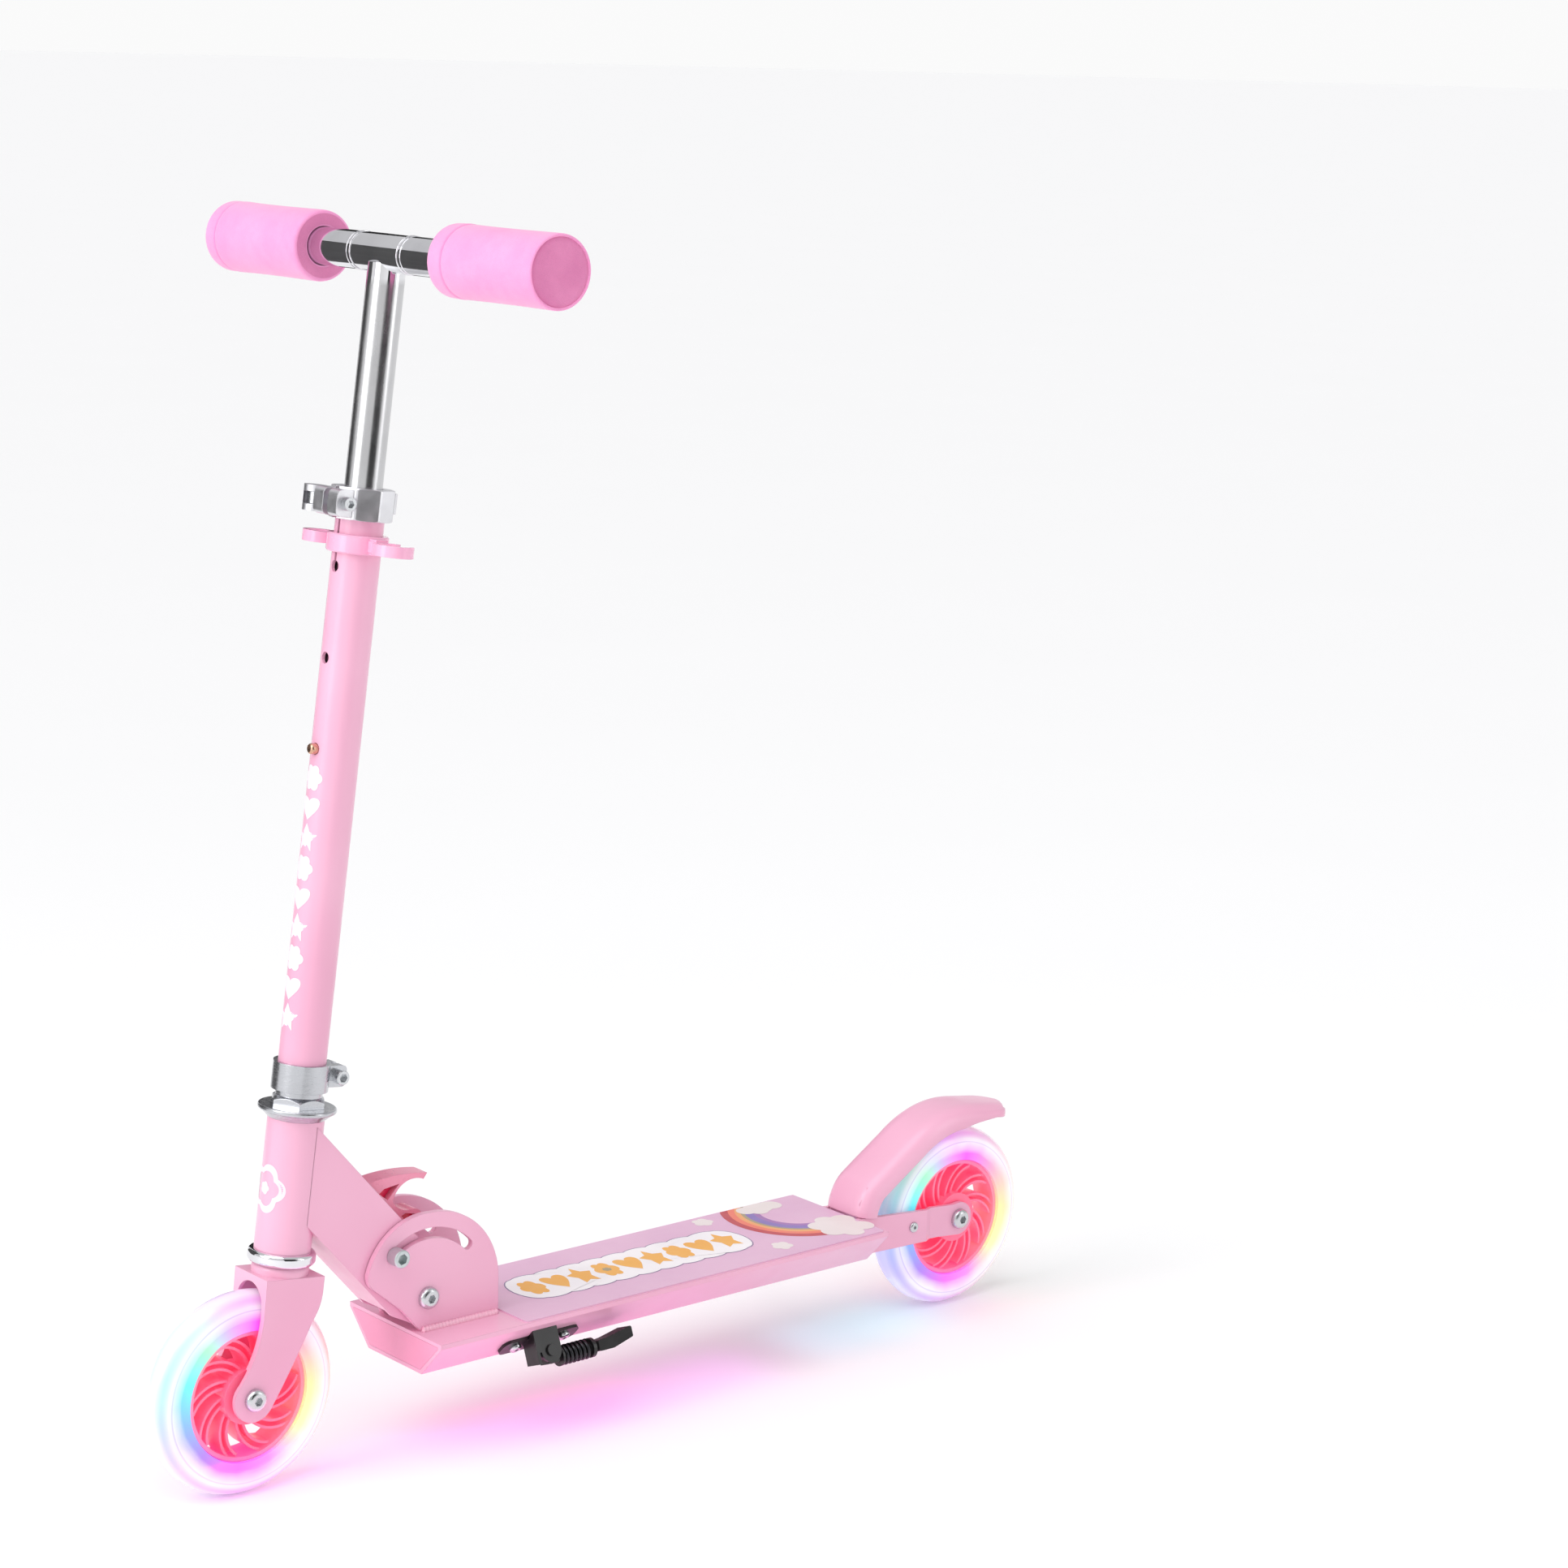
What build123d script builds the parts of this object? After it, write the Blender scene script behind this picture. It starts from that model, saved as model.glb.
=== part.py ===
from build123d import *
import os
from math import atan2, cos, degrees, radians, sin

# Folding children's kick scooter, in millimetres.
# +X is forward, +Y is the rider's left, +Z is up.
# The origin is on the ground, halfway between the two wheel axles.
# The scooter is open for riding, steering straight, handlebar at its lowest hole, stand up.

# ---- driving dimensions -------------------------------------------------------------------
WHEELBASE = 571.0
WHEEL_R = 62.5
TYRE_W = 24.0
HEAD_TILT = 7.1  # the steering axis leans back by this many degrees
FORK_OFFSET = 20.0  # how far the front axle lies ahead of the steering axis
GAP = 0.3  # between curved faces of pieces that move past each other
FIT = 0.05  # radial clearance of a turning or sliding fit
TOUCH = 0.02  # between pieces that are fixed together

# Heights along the steering axis, from its foot level with the front axle.
CROWN_TOP = 72.0
LOWER_RACE_TOP = 77.8
HEAD_BOTTOM = 86.0
HEAD_TOP = 166.0
UPPER_CUP_TOP = 170.0
WASHER_TOP = 173.3
LOCKNUT_TOP = 180.0
COLLAR_BOTTOM = 183.0
COLLAR_TOP = 199.6
STEERER_TOP = 232.0
INNER_TUBE_FOOT = 355.0
HOLE_1 = 385.75
HOLE_STEP = 53.45
CLIP_BOTTOM = 501.0
CLIP_TOP = 512.0
CLAMP_BOTTOM = 520.5
CLAMP_TOP = 539.0
STEM_TOP = 536.5
BAR_AXIS = 674.0

# Tubes, as radii.
STEM_R = 14.3
STEM_BORE = 12.3
STEERER_R = 12.2
STEERER_BORE = 9.5
BAR_R = 11.1
BAR_BORE = 9.6
SPIGOT_R = 9.5
SPIGOT_BORE = 7.6
HEAD_R = 17.0
HEAD_BORE = 15.0

# Handlebar, as distances from the middle.
CROSS_HALF = 24.0
SPIGOT_END = 4.0
GRIP_INNER = 66.2
GRIP_OUTER = 163.1
GRIP_R = 21.1
GRIP_CAP = 2.8

# Deck.
DECK_FRONT = 173.5
DECK_REAR = -189.0
DECK_Z = 81.8  # the surface the rider stands on
SHEET_T = 0.8
DECK_BOTTOM = 56.6
DECK_HALF = 48.6
DECK_BOTTOM_HALF = 28.3
DECK_LIP = 3.0
DECK_WALL = 2.5

# Fold joint.
PIVOT_X = 164.1
PIVOT_Z = 101.5
CHEEK_R = 51.5
CHEEK_IN = 17.0
CHEEK_OUT = 21.0
NECK_ANGLE = 48.4  # the neck climbs from the pivot at this angle
NECK_HALF = 16.5
NECK_WALL = 3.0
NECK_UP = 22.0  # from the pivot to the neck's open upper edge
NECK_DOWN = 23.0  # from the pivot to the neck's closed lower wall
NECK_EYE_R = 18.5
FOLD_ANGLE = 83.0
PIVOT_R = 4.0
LOCK_R = 2.4
LOCK_ARM = 40.0  # from the pivot to the lock pin
LOCK_RISE = 2.4  # the lock pin's offset above the neck's middle line
LATCH_U = 41.0
LATCH_V = 16.0
LATCH_PIN_R = 2.5
LATCH_THROW = 1.2  # how far the latch lifts the lock pin

# Fork.
FORK_HALF = 17.4
FORK_WALL = 2.5
FORK_BACK = -20.5
FORK_FRONT = 20.0
LUG_R = 14.0

# Axles and bearings.
AXLE_R = 4.0
BEARING_R = 11.0
BEARING_W = 7.0
HUB_HALF = 11.0
RIM_R = 40.5

# Rear arms and fender.
ARM_OUT = 18.0
ARM_T = 3.0
ARM_STEP = 3.2  # the arms step in by this much beside the hub
FENDER_R = 80.0
FENDER_HALF = 20.6
FENDER_T = 2.0
FENDER_PIN_X = -201.0
FENDER_PIN_Z = 68.0

# Kickstand.
STAND_X = 91.0
STAND_Y = 43.5
STAND_Z = 58.0
STAND_TILT = 22.0  # its hinge leans by this angle, so that the leg splays outward
STAND_DROP = 5.0  # from the hinge to the rod's axis
STAND_REACH = 63.0
EYE_HALF = 4.2
EYE_R = 6.0
EAR_HALF = 6.6
SPRING_R = 5.3
SPRING_WIRE = 1.1

# ---- derived places -----------------------------------------------------------------------
FRONT_X = WHEELBASE / 2
REAR_X = -WHEELBASE / 2
TILT = radians(HEAD_TILT)
BASE_X = FRONT_X - FORK_OFFSET * cos(TILT)
BASE_Z = WHEEL_R - FORK_OFFSET * sin(TILT)
SHELL_Z = DECK_Z - SHEET_T
STEER = Pos(BASE_X, 0, BASE_Z) * Rot(0, -HEAD_TILT, 0)
NECK = Pos(PIVOT_X, 0, PIVOT_Z) * Rot(0, -NECK_ANGLE, 0)
STAND = Pos(STAND_X, STAND_Y, STAND_Z) * Rot(STAND_TILT, 0, 0)
LOCK_ANGLE = NECK_ANGLE + degrees(atan2(LOCK_RISE, LOCK_ARM))
SIDES = (1, -1)


# ---- small helpers ------------------------------------------------------------------------
def rod(radius, z0, z1):
    """A round bar along Z."""
    return Pos(0, 0, z0) * extrude(Circle(radius), z1 - z0)


def tube(outer, inner, z0, z1):
    """A round tube along Z."""
    return Pos(0, 0, z0) * extrude(Circle(outer) - Circle(inner), z1 - z0)


def slab(outline, y0, y1):
    """A plate between two Y values, whose outline is drawn in X and Z."""
    return Pos(0, y1, 0) * extrude(Plane.XZ * outline, y1 - y0)


def block(x0, x1, y0, y1, z0, z1):
    """A box between two corners."""
    return Pos((x0 + x1) / 2, (y0 + y1) / 2, (z0 + z1) / 2) * Box(x1 - x0, y1 - y0, z1 - z0)


def along_y(piece):
    """Turn a piece made along Z so that it runs along +Y."""
    return Rot(-90, 0, 0) * piece


def along_x(piece):
    """Turn a piece made along Z so that it runs along +X."""
    return Rot(0, 90, 0) * piece


def both_sides(piece):
    """The piece and its mirror image across the middle plane."""
    return piece + mirror(piece, Plane.XZ)


def top_edges(piece):
    return piece.edges().group_by(Axis.Z)[-1]


def hexagon(across, height):
    """A hexagonal prism, measured across its flats."""
    return extrude(RegularPolygon(across / 2, 6, major_radius=False), height)


def button_head(radius, height, key):
    """A domed socket head, its underside at Z = 0."""
    head = rod(radius, 0, height)
    head = fillet(top_edges(head), height * 0.72)
    return head - Pos(0, 0, height * 0.35) * hexagon(key, height)


def socket_screw(shaft_r, head_r, length):
    """A socket-head screw along Z with its head's underside at Z = 0 and its shaft below."""
    head = rod(head_r, 0, head_r * 1.2)
    head = chamfer(top_edges(head), 0.4)
    head -= Pos(0, 0, head_r * 0.5) * hexagon(head_r * 1.1, head_r)
    return head + rod(shaft_r, -length, 0)


def cross_bolt(shaft_r, half, head_r=7.0, nut_across=13.0):
    """A button-head bolt along Y with its head on the left, and its nut on the right."""
    bolt = Pos(0, 0, half) * button_head(head_r, head_r * 0.62, head_r * 0.72)
    bolt += rod(shaft_r, -half - shaft_r * 1.35, half)
    nut = Pos(0, 0, -half - shaft_r * 1.2) * (
        hexagon(nut_across, shaft_r * 1.2) - rod(shaft_r + TOUCH, -1, shaft_r * 2)
    )
    nut = chamfer(nut.edges().group_by(Axis.Z)[0], 0.4)
    return Compound(children=[along_y(bolt).solid(), along_y(nut).solid()])


# ---- wheels -------------------------------------------------------------------------------
LUG_COUNT = 20
LUG_TOP = 45.6
LUG_LONG = 6.0
LUG_HALF = 6.0
SPOKE_COUNT = 10
SPOKE_SWEEP = 42.0
SPOKE_W = 6.2
SPOKE_GROOVE = 2.8
GROOVE_HALF = 9.0
LAMP_COUNT = 6


def tyre():
    """A solid clear tyre with a round crown, and a groove inside for the rim's lugs."""
    crown = WHEEL_R - TYRE_W / 2
    section = Pos(crown, 0) * Circle(TYRE_W / 2)
    section += Pos((RIM_R + crown) / 2, 0) * Rectangle(crown - RIM_R, TYRE_W - 1)
    section -= Pos((RIM_R + TOUCH) / 2, 0) * Rectangle(RIM_R + TOUCH, TYRE_W * 2)
    groove_top = LUG_TOP + TOUCH * 5
    section -= Pos(groove_top / 2, 0) * Rectangle(groove_top, 2 * GROOVE_HALF)
    return along_y(revolve(Plane.XZ * section, Axis.Z))


def spoke_line(turn):
    """A spiral arm from the boss to the rim; turn is +1 or -1."""
    points = []
    for radius, share in ((15.0, 0.0), (25.0, 0.36), (38.5, 1.0)):
        angle = radians(turn * SPOKE_SWEEP * share)
        points.append((radius * cos(angle), radius * sin(angle)))
    return ThreePointArc(*points)


def hub(turn):
    """A spoked hub: boss, ten double-ribbed spiral spokes, rim and moulded lugs."""
    rim = tube(RIM_R, RIM_R - 3.2, -9.5, 9.5)
    rim = chamfer(rim.edges().filter_by(GeomType.CIRCLE).sort_by(SortBy.RADIUS)[-2:], 0.8)
    boss = rod(17.0, -HUB_HALF, HUB_HALF)
    web = trace(spoke_line(turn), SPOKE_W)
    ribs = web - trace(spoke_line(turn), SPOKE_GROOVE)
    spoke = extrude(web, 2.0, both=True) + extrude(ribs, 7.6, both=True)
    spoke &= rod(RIM_R - 1.0, -20, 20)
    lug = Pos(LUG_TOP - LUG_LONG / 2, 0, 0) * Box(LUG_LONG, 6.0, 2 * LUG_HALF)
    body = rim + boss
    body += [place * spoke for place in PolarLocations(0, SPOKE_COUNT)]
    body += [place * lug for place in PolarLocations(0, LUG_COUNT)]
    body &= rod(LUG_TOP, -20, 20)
    body -= rod(9.0, -20, 20)
    for side in SIDES:
        body -= Pos(0, 0, side * (HUB_HALF - BEARING_W / 2)) * Cylinder(BEARING_R + TOUCH, BEARING_W)
    return along_y(body)


def wheel_bearings():
    """Two ball bearings, drawn as rings."""
    ring = tube(BEARING_R, AXLE_R + FIT, HUB_HALF - BEARING_W, HUB_HALF)
    return both_sides(along_y(ring))


def led_ring():
    """The light ring that sits on the rim between its lugs: six lamps on a thin strip."""
    strip = tube(RIM_R + 1.0, RIM_R + TOUCH, LUG_HALF + 0.3, LUG_HALF + 2.6)
    lamp = Pos(0, 0, LUG_HALF + 1.45) * Box(1.6, 4.0, 1.8)
    strip += [place * lamp for place in PolarLocations(RIM_R + 1.2, LAMP_COUNT)]
    return along_y(strip)


def magnet_core():
    """The fixed magnet sleeve between the bearings, which lights the lamps as the wheel turns."""
    return along_y(tube(8.2, AXLE_R + TOUCH, -3.9, 3.9))


def axle_spacers():
    """A sleeve on each side, from the front bearing to the fork's blade."""
    ring = tube(6.6, AXLE_R + TOUCH, HUB_HALF + 0.05, FORK_HALF - FORK_WALL - TOUCH)
    return both_sides(along_y(ring))


def front(piece):
    return Pos(FRONT_X, 0, WHEEL_R) * piece


def rear(piece):
    return Pos(REAR_X, 0, WHEEL_R) * piece


# ---- fork and steerer, in the steering frame ----------------------------------------------
def fork_outline():
    """Side view of the fork: a wide crown that narrows and curves forward to the axle lug."""
    lug = Pos(FORK_OFFSET, 0) * Circle(LUG_R)
    blade = make_face(
        [
            Line((FORK_BACK, CROWN_TOP), (FORK_FRONT, CROWN_TOP)),
            Line((FORK_FRONT, CROWN_TOP), (FORK_FRONT - 0.6, 50)),
            ThreePointArc((FORK_FRONT - 0.6, 50), (22.6, 27), (32.6, 6)),
            Line((32.6, 6), (7.2, -5.6)),
            ThreePointArc((7.2, -5.6), (-3.6, 17), (-15.4, 45)),
            ThreePointArc((-15.4, 45), (-19.0, 53), (FORK_BACK, 62)),
            Line((FORK_BACK, 62), (FORK_BACK, CROWN_TOP)),
        ]
    )
    return blade + lug


def fork():
    """Folded sheet fork: crown and race seat, two blades, and lips with an arch over the tyre."""
    body = slab(fork_outline(), -FORK_HALF, FORK_HALF)
    inner = FORK_HALF - FORK_WALL
    room = make_face(Polyline(
        (FORK_BACK + FORK_WALL, CROWN_TOP - FORK_WALL),
        (FORK_FRONT - FORK_WALL, CROWN_TOP - FORK_WALL),
        (FORK_FRONT - FORK_WALL - 0.6, 50),
        (19.0, 30),
        (26.0, 17),
        (2.0, 17),
        (-12.6, 46),
        (FORK_BACK + FORK_WALL, 60),
        close=True,
    ))
    body -= slab(room, -inner, inner)
    body -= block(-40, 60, -inner, inner, -30, 18)
    arch_half = 13.4
    arch = Pos(0, 54) * Circle(arch_half) + Pos(0, 18) * Rectangle(2 * arch_half, 72)
    body -= Pos(60, 0, 0) * extrude(Plane.YZ * arch, -120)
    seat = rod(17.2, CROWN_TOP - 1, LOWER_RACE_TOP)
    body += fillet(top_edges(seat), 3.0)
    body -= rod(STEERER_R + TOUCH, CROWN_TOP - 10, CROWN_TOP + 10)
    body -= Pos(FORK_OFFSET, 0, 0) * along_y(rod(AXLE_R + TOUCH, -40, 40))
    return STEER * body


def steerer():
    """The steering tube that runs up through the head tube into the stem."""
    return STEER * tube(STEERER_R, STEERER_BORE, CROWN_TOP - FORK_WALL, STEERER_TOP)


def flange_washer():
    """The wide dust washer that turns with the stem above the upper cup."""
    body = tube(23.4, STEERER_R + TOUCH, UPPER_CUP_TOP + GAP, WASHER_TOP)
    body = fillet(body.edges().filter_by(GeomType.CIRCLE).sort_by(SortBy.RADIUS)[-2:], 1.1)
    return STEER * body


def locknut():
    """The hexagonal locknut with a round neck above it."""
    body = Pos(0, 0, WASHER_TOP) * hexagon(30.0, LOCKNUT_TOP - WASHER_TOP)
    cone = Pos(0, 0, (WASHER_TOP + LOCKNUT_TOP) / 2) * Cone(21.5, 13.5, LOCKNUT_TOP - WASHER_TOP)
    body = body & cone
    body += rod(14.0, LOCKNUT_TOP - 2, COLLAR_BOTTOM)
    body -= rod(STEERER_R + TOUCH, WASHER_TOP - 5, COLLAR_BOTTOM + 5)
    return STEER * body


def stem_tube():
    """The painted stem, with three height holes in front and a slit from the top one."""
    body = tube(STEM_R, STEM_BORE, COLLAR_BOTTOM + GAP, STEM_TOP)
    hole = along_x(rod(3.4, 0, 30))
    for step in range(3):
        body -= Pos(0, 0, HOLE_1 + step * HOLE_STEP) * hole
    slit_foot = HOLE_1 + 2 * HOLE_STEP
    body -= block(0, 30, -1.0, 1.0, slit_foot, STEM_TOP + 5)
    foot = COLLAR_BOTTOM - 1
    body -= block(-30, 0, -1.0, 1.0, foot, COLLAR_TOP - 2)
    return STEER * body


def lower_collar():
    """The split collar that clamps the stem onto the steerer, with two ears behind."""
    mid = (COLLAR_BOTTOM + COLLAR_TOP) / 2
    body = tube(17.0, STEM_R + TOUCH, COLLAR_BOTTOM, COLLAR_TOP)
    for side in SIDES:
        ear = Pos(-20.5, side * 5.0, mid) * Box(13.0, 6.0, 13.0)
        body += fillet(ear.edges().filter_by(Axis.Y).group_by(Axis.X)[0], 3.0)
    body -= rod(STEM_R + TOUCH, COLLAR_BOTTOM - 1, COLLAR_TOP + 1)
    body -= block(-40, 0, -1.6, 1.6, COLLAR_BOTTOM - 1, COLLAR_TOP + 1)
    body -= Pos(-21.5, 0, mid) * along_y(rod(2.5 + TOUCH, -20, 20))
    return STEER * body


def collar_bolt():
    """The socket screw through the lower collar's ears."""
    mid = (COLLAR_BOTTOM + COLLAR_TOP) / 2
    screw = socket_screw(2.5, 4.4, 18.0)
    return STEER * (Pos(-21.5, 8.0, mid) * along_y(screw))


def stem_shim():
    """The plastic sleeve in the stem's mouth that guides the inner tube."""
    body = tube(STEM_BORE - TOUCH, BAR_R + 0.08, CLIP_BOTTOM, STEM_TOP)
    body -= block(0, 30, -1.0, 1.0, CLIP_BOTTOM - 1, STEM_TOP + 1)
    return STEER * body


# ---- quick-release clamp, in the steering frame -------------------------------------------
CAM_X = 18.5
CAM_Y = -20.5
CAM_PIN_R = 2.5
COLLAR_R = 18.8
COLLAR_FLAT = 17.6


def clamp_collar():
    """The cast clamp round the stem's top, with two ears in front for the draw bolt."""
    mid = (CLAMP_BOTTOM + CLAMP_TOP) / 2
    body = rod(COLLAR_R, CLAMP_BOTTOM, CLAMP_TOP)
    body = fillet(body.edges().filter_by(GeomType.CIRCLE), 1.0)
    body &= Pos(0, 0, CLAMP_BOTTOM) * extrude(RegularPolygon(COLLAR_FLAT, 8, major_radius=False), CLAMP_TOP)
    for side in SIDES:
        ear = Pos(18.5, side * 7.1, mid) * Box(14.0, 9.4, 16.0)
        body += fillet(ear.edges().filter_by(Axis.Y).group_by(Axis.X)[-1], 4.0)
    body -= rod(STEM_R + TOUCH, CLAMP_BOTTOM - 1, STEM_TOP + TOUCH)
    body -= rod(BAR_R + 0.5, CLAMP_BOTTOM, CLAMP_TOP + 1)
    body -= block(0, 40, -2.0, 2.0, CLAMP_BOTTOM - 1, CLAMP_TOP + 1)
    body -= Pos(CAM_X, 0, mid) * along_y(rod(2.5 + TOUCH, -30, 30))
    return STEER * body


def clamp_bolt():
    """The draw bolt across the ears: socket head on the left, an eye for the cam pin on the right."""
    mid = (CLAMP_BOTTOM + CLAMP_TOP) / 2
    body = along_y(rod(2.5, CAM_Y, 13.0))
    head = rod(4.0, 0, 4.0) - Pos(0, 0, 1.8) * hexagon(4.2, 3.0)
    body += Pos(0, 11.85, 0) * along_y(head)
    body += Pos(0, CAM_Y, -3.4) * rod(4.2, 0, 6.8)
    body -= Pos(0, CAM_Y, -10) * rod(CAM_PIN_R + FIT, 0, 20)
    return STEER * (Pos(CAM_X, 0, mid) * body)


def lever_path():
    """Plan of the lever's arm: from the cam, round the right side of the stem, to the rear."""
    return Spline((CAM_X, CAM_Y - 4.5), (2.0, -26.0), (-16.0, -24.5), (-31.0, -13.0))


def clamp_lever():
    """The cast cam lever: a forked cam round the draw bolt's eye, and a curved arm."""
    mid = (CLAMP_BOTTOM + CLAMP_TOP) / 2
    arm = extrude(trace(lever_path(), 4.6), 6.0, both=True)
    tip = Pos(-31.0, -13.0, 0) * Cylinder(2.3, 12.0)
    cam = Pos(CAM_X, CAM_Y, 0) * Cylinder(7.2, 15.0)
    body = arm + tip + cam
    body -= Pos(CAM_X, CAM_Y, 0) * Cylinder(7.0, 7.4)
    body -= block(CAM_X - 9, CAM_X + 30, CAM_Y - 4.3, CAM_Y + 20, -3.7, 3.7)
    body -= block(CAM_X - 30, CAM_X + 30, CAM_Y + 6.9, CAM_Y + 30, -20, 20)
    body += Pos(CAM_X, CAM_Y, 0) * Cylinder(CAM_PIN_R, 15.0)
    return STEER * (Pos(0, 0, mid) * body)


# ---- storage clip, in the steering frame --------------------------------------------------
CLIP_REACH = 36.0
CLIP_BORE = 9.6
CLIP_WALL = 2.4
CLIP_MOUTH = 14.0
CLIP_ARM_HALF = 3.3


def clip_holder():
    """The plastic clip on the stem, with an open C on each side for a stowed handlebar half."""
    middle = (CLIP_BOTTOM + CLIP_TOP) / 2
    ring = rod(18.0, CLIP_BOTTOM, CLIP_TOP)
    ring = chamfer(ring.edges().filter_by(GeomType.CIRCLE), 0.8)
    neck = block(-4, 4, -24.5, 24.5, middle - 4.6, middle + 4.6)
    arms = Rectangle(9.0, 2 * CLIP_REACH - 16)
    for side in SIDES:
        arms += Pos(0, side * CLIP_REACH) * Circle(CLIP_BORE + CLIP_WALL)
    body = ring + neck + Pos(0, 0, middle) * extrude(arms, CLIP_ARM_HALF, both=True)
    hole = Circle(STEM_R + TOUCH)
    for side in SIDES:
        hole += Pos(0, side * CLIP_REACH) * Circle(CLIP_BORE)
        hole += Pos(-20, side * CLIP_REACH) * Rectangle(40, CLIP_MOUTH)
    return STEER * (body - extrude(hole, STEM_TOP))


# ---- handlebar, in the steering frame -----------------------------------------------------
BUTTON_Y = 12.5
BAR_BUTTON_R = 2.6
HEIGHT_BUTTON_R = 3.2


def t_tube():
    """The chromed inner tube with its open cross tube welded on top."""
    cross = along_y(rod(BAR_R, -CROSS_HALF, CROSS_HALF))
    body = Pos(0, 0, BAR_AXIS) * cross
    body += tube(BAR_R, BAR_BORE, INNER_TUBE_FOOT, BAR_AXIS - 6)
    body += rod(BAR_R, BAR_AXIS - 16, BAR_AXIS - 8)
    body -= Pos(0, 0, BAR_AXIS) * along_y(rod(BAR_BORE, -CROSS_HALF - 1, CROSS_HALF + 1))
    body -= Pos(0, 0, HOLE_1) * along_x(rod(HEIGHT_BUTTON_R + 0.1, 0, 20))
    for side in SIDES:
        hole = along_x(rod(BAR_BUTTON_R + 0.2, -20, 0))
        body -= Pos(0, side * BUTTON_Y, BAR_AXIS) * hole
    return STEER * body


def t_tube_bush():
    """The plastic bush on the inner tube's foot."""
    foot = INNER_TUBE_FOOT - 2
    body = tube(STEM_BORE - 0.06, BAR_R + TOUCH, foot, INNER_TUBE_FOOT + 16)
    body += tube(STEM_BORE - 0.06, BAR_BORE, foot, INNER_TUBE_FOOT - TOUCH)
    return STEER * body


def height_button():
    """The sprung button that stands out of the stem's height hole."""
    button = rod(HEIGHT_BUTTON_R, 4.0, 18.6)
    button = fillet(top_edges(button), 1.6)
    button += rod(4.6, 4.0, 5.4)
    return STEER * (Pos(0, 0, HOLE_1) * along_x(button))


def height_spring():
    """The V-shaped leaf spring inside the inner tube, which pushes the height button out."""
    leaf = make_face(Polyline((3.9, 6), (3.1, 6), (-8.8, -14), (-8.8, 14), (3.1, 6.9), (3.9, 6.9),
                              (-9.2, 28), (-9.2, -28), close=True))
    blade = Pos(0, 0, HOLE_1 - 6.4) * slab(leaf, -1.6, 1.6)
    return STEER * blade


def bar_tube(side):
    """One half of the handlebar: a chromed tube with a thinner spigot that enters the T."""
    body = tube(BAR_R, BAR_BORE, CROSS_HALF + 0.1, GRIP_OUTER - GRIP_CAP - TOUCH)
    body += tube(SPIGOT_R, SPIGOT_BORE, SPIGOT_END, CROSS_HALF + 12)
    body += tube(BAR_BORE + 0.5, SPIGOT_R - 0.5, CROSS_HALF + 4, CROSS_HALF + 12)
    body = Rot(-side * 90, 0, 0) * body
    body -= Pos(0, side * BUTTON_Y, 0) * along_x(rod(BAR_BUTTON_R + 0.1, -20, 0))
    return STEER * (Pos(0, 0, BAR_AXIS) * body)


def bar_grip(side):
    """A soft foam grip with a closed outer end."""
    body = rod(GRIP_R, GRIP_INNER, GRIP_OUTER)
    body = fillet(body.edges().filter_by(GeomType.CIRCLE), 3.0)
    body -= rod(BAR_R + TOUCH, GRIP_INNER - 1, GRIP_OUTER - GRIP_CAP)
    return STEER * (Pos(0, 0, BAR_AXIS) * (Rot(-side * 90, 0, 0) * body))


def bar_button(side):
    """The sprung button that holds a handlebar half in the T."""
    button = rod(BAR_BUTTON_R, 3.0, 13.0)
    button = fillet(top_edges(button), 1.2)
    button += rod(3.8, 3.0, 4.2)
    return STEER * (Pos(0, side * BUTTON_Y, BAR_AXIS) * (Rot(0, -90, 0) * button))


# ---- head tube and neck -------------------------------------------------------------------
def head_tube():
    return STEER * tube(HEAD_R, HEAD_BORE, HEAD_BOTTOM, HEAD_TOP)


def lower_cup():
    """The chromed ring that holds the lower bearing."""
    body = tube(20.4, 16.2, LOWER_RACE_TOP + GAP, HEAD_BOTTOM)
    body = fillet(body.edges().filter_by(GeomType.CIRCLE).sort_by(SortBy.RADIUS)[-2:], 2.6)
    return STEER * body


def upper_cup():
    """The flared cup on the head tube's top."""
    height = UPPER_CUP_TOP - HEAD_TOP
    body = Pos(0, 0, HEAD_TOP + height / 2) * Cone(HEAD_R + 0.4, 21.6, height)
    body -= rod(STEERER_R + GAP, HEAD_TOP - 1, UPPER_CUP_TOP + 1)
    return STEER * body


def headset_bearings():
    """The two ball bearings of the steering, drawn as rings."""
    body = tube(16.1, STEERER_R + FIT, LOWER_RACE_TOP + 0.6, HEAD_BOTTOM - TOUCH)
    body += tube(HEAD_BORE - TOUCH, STEERER_R + FIT, HEAD_TOP - 7.5, HEAD_TOP - TOUCH)
    return STEER * body


def neck_outline():
    """Side view of the neck from the pivot (0, 0) along +X to beyond the head tube."""
    flank = NECK_EYE_R * 0.86
    beam = make_face(Polyline(
        (-NECK_EYE_R * 0.5, flank), (6, NECK_UP), (160, NECK_UP), (160, -NECK_DOWN),
        (9, -NECK_DOWN), (-NECK_EYE_R * 0.5, -flank), close=True))
    return Circle(NECK_EYE_R) + beam


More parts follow.
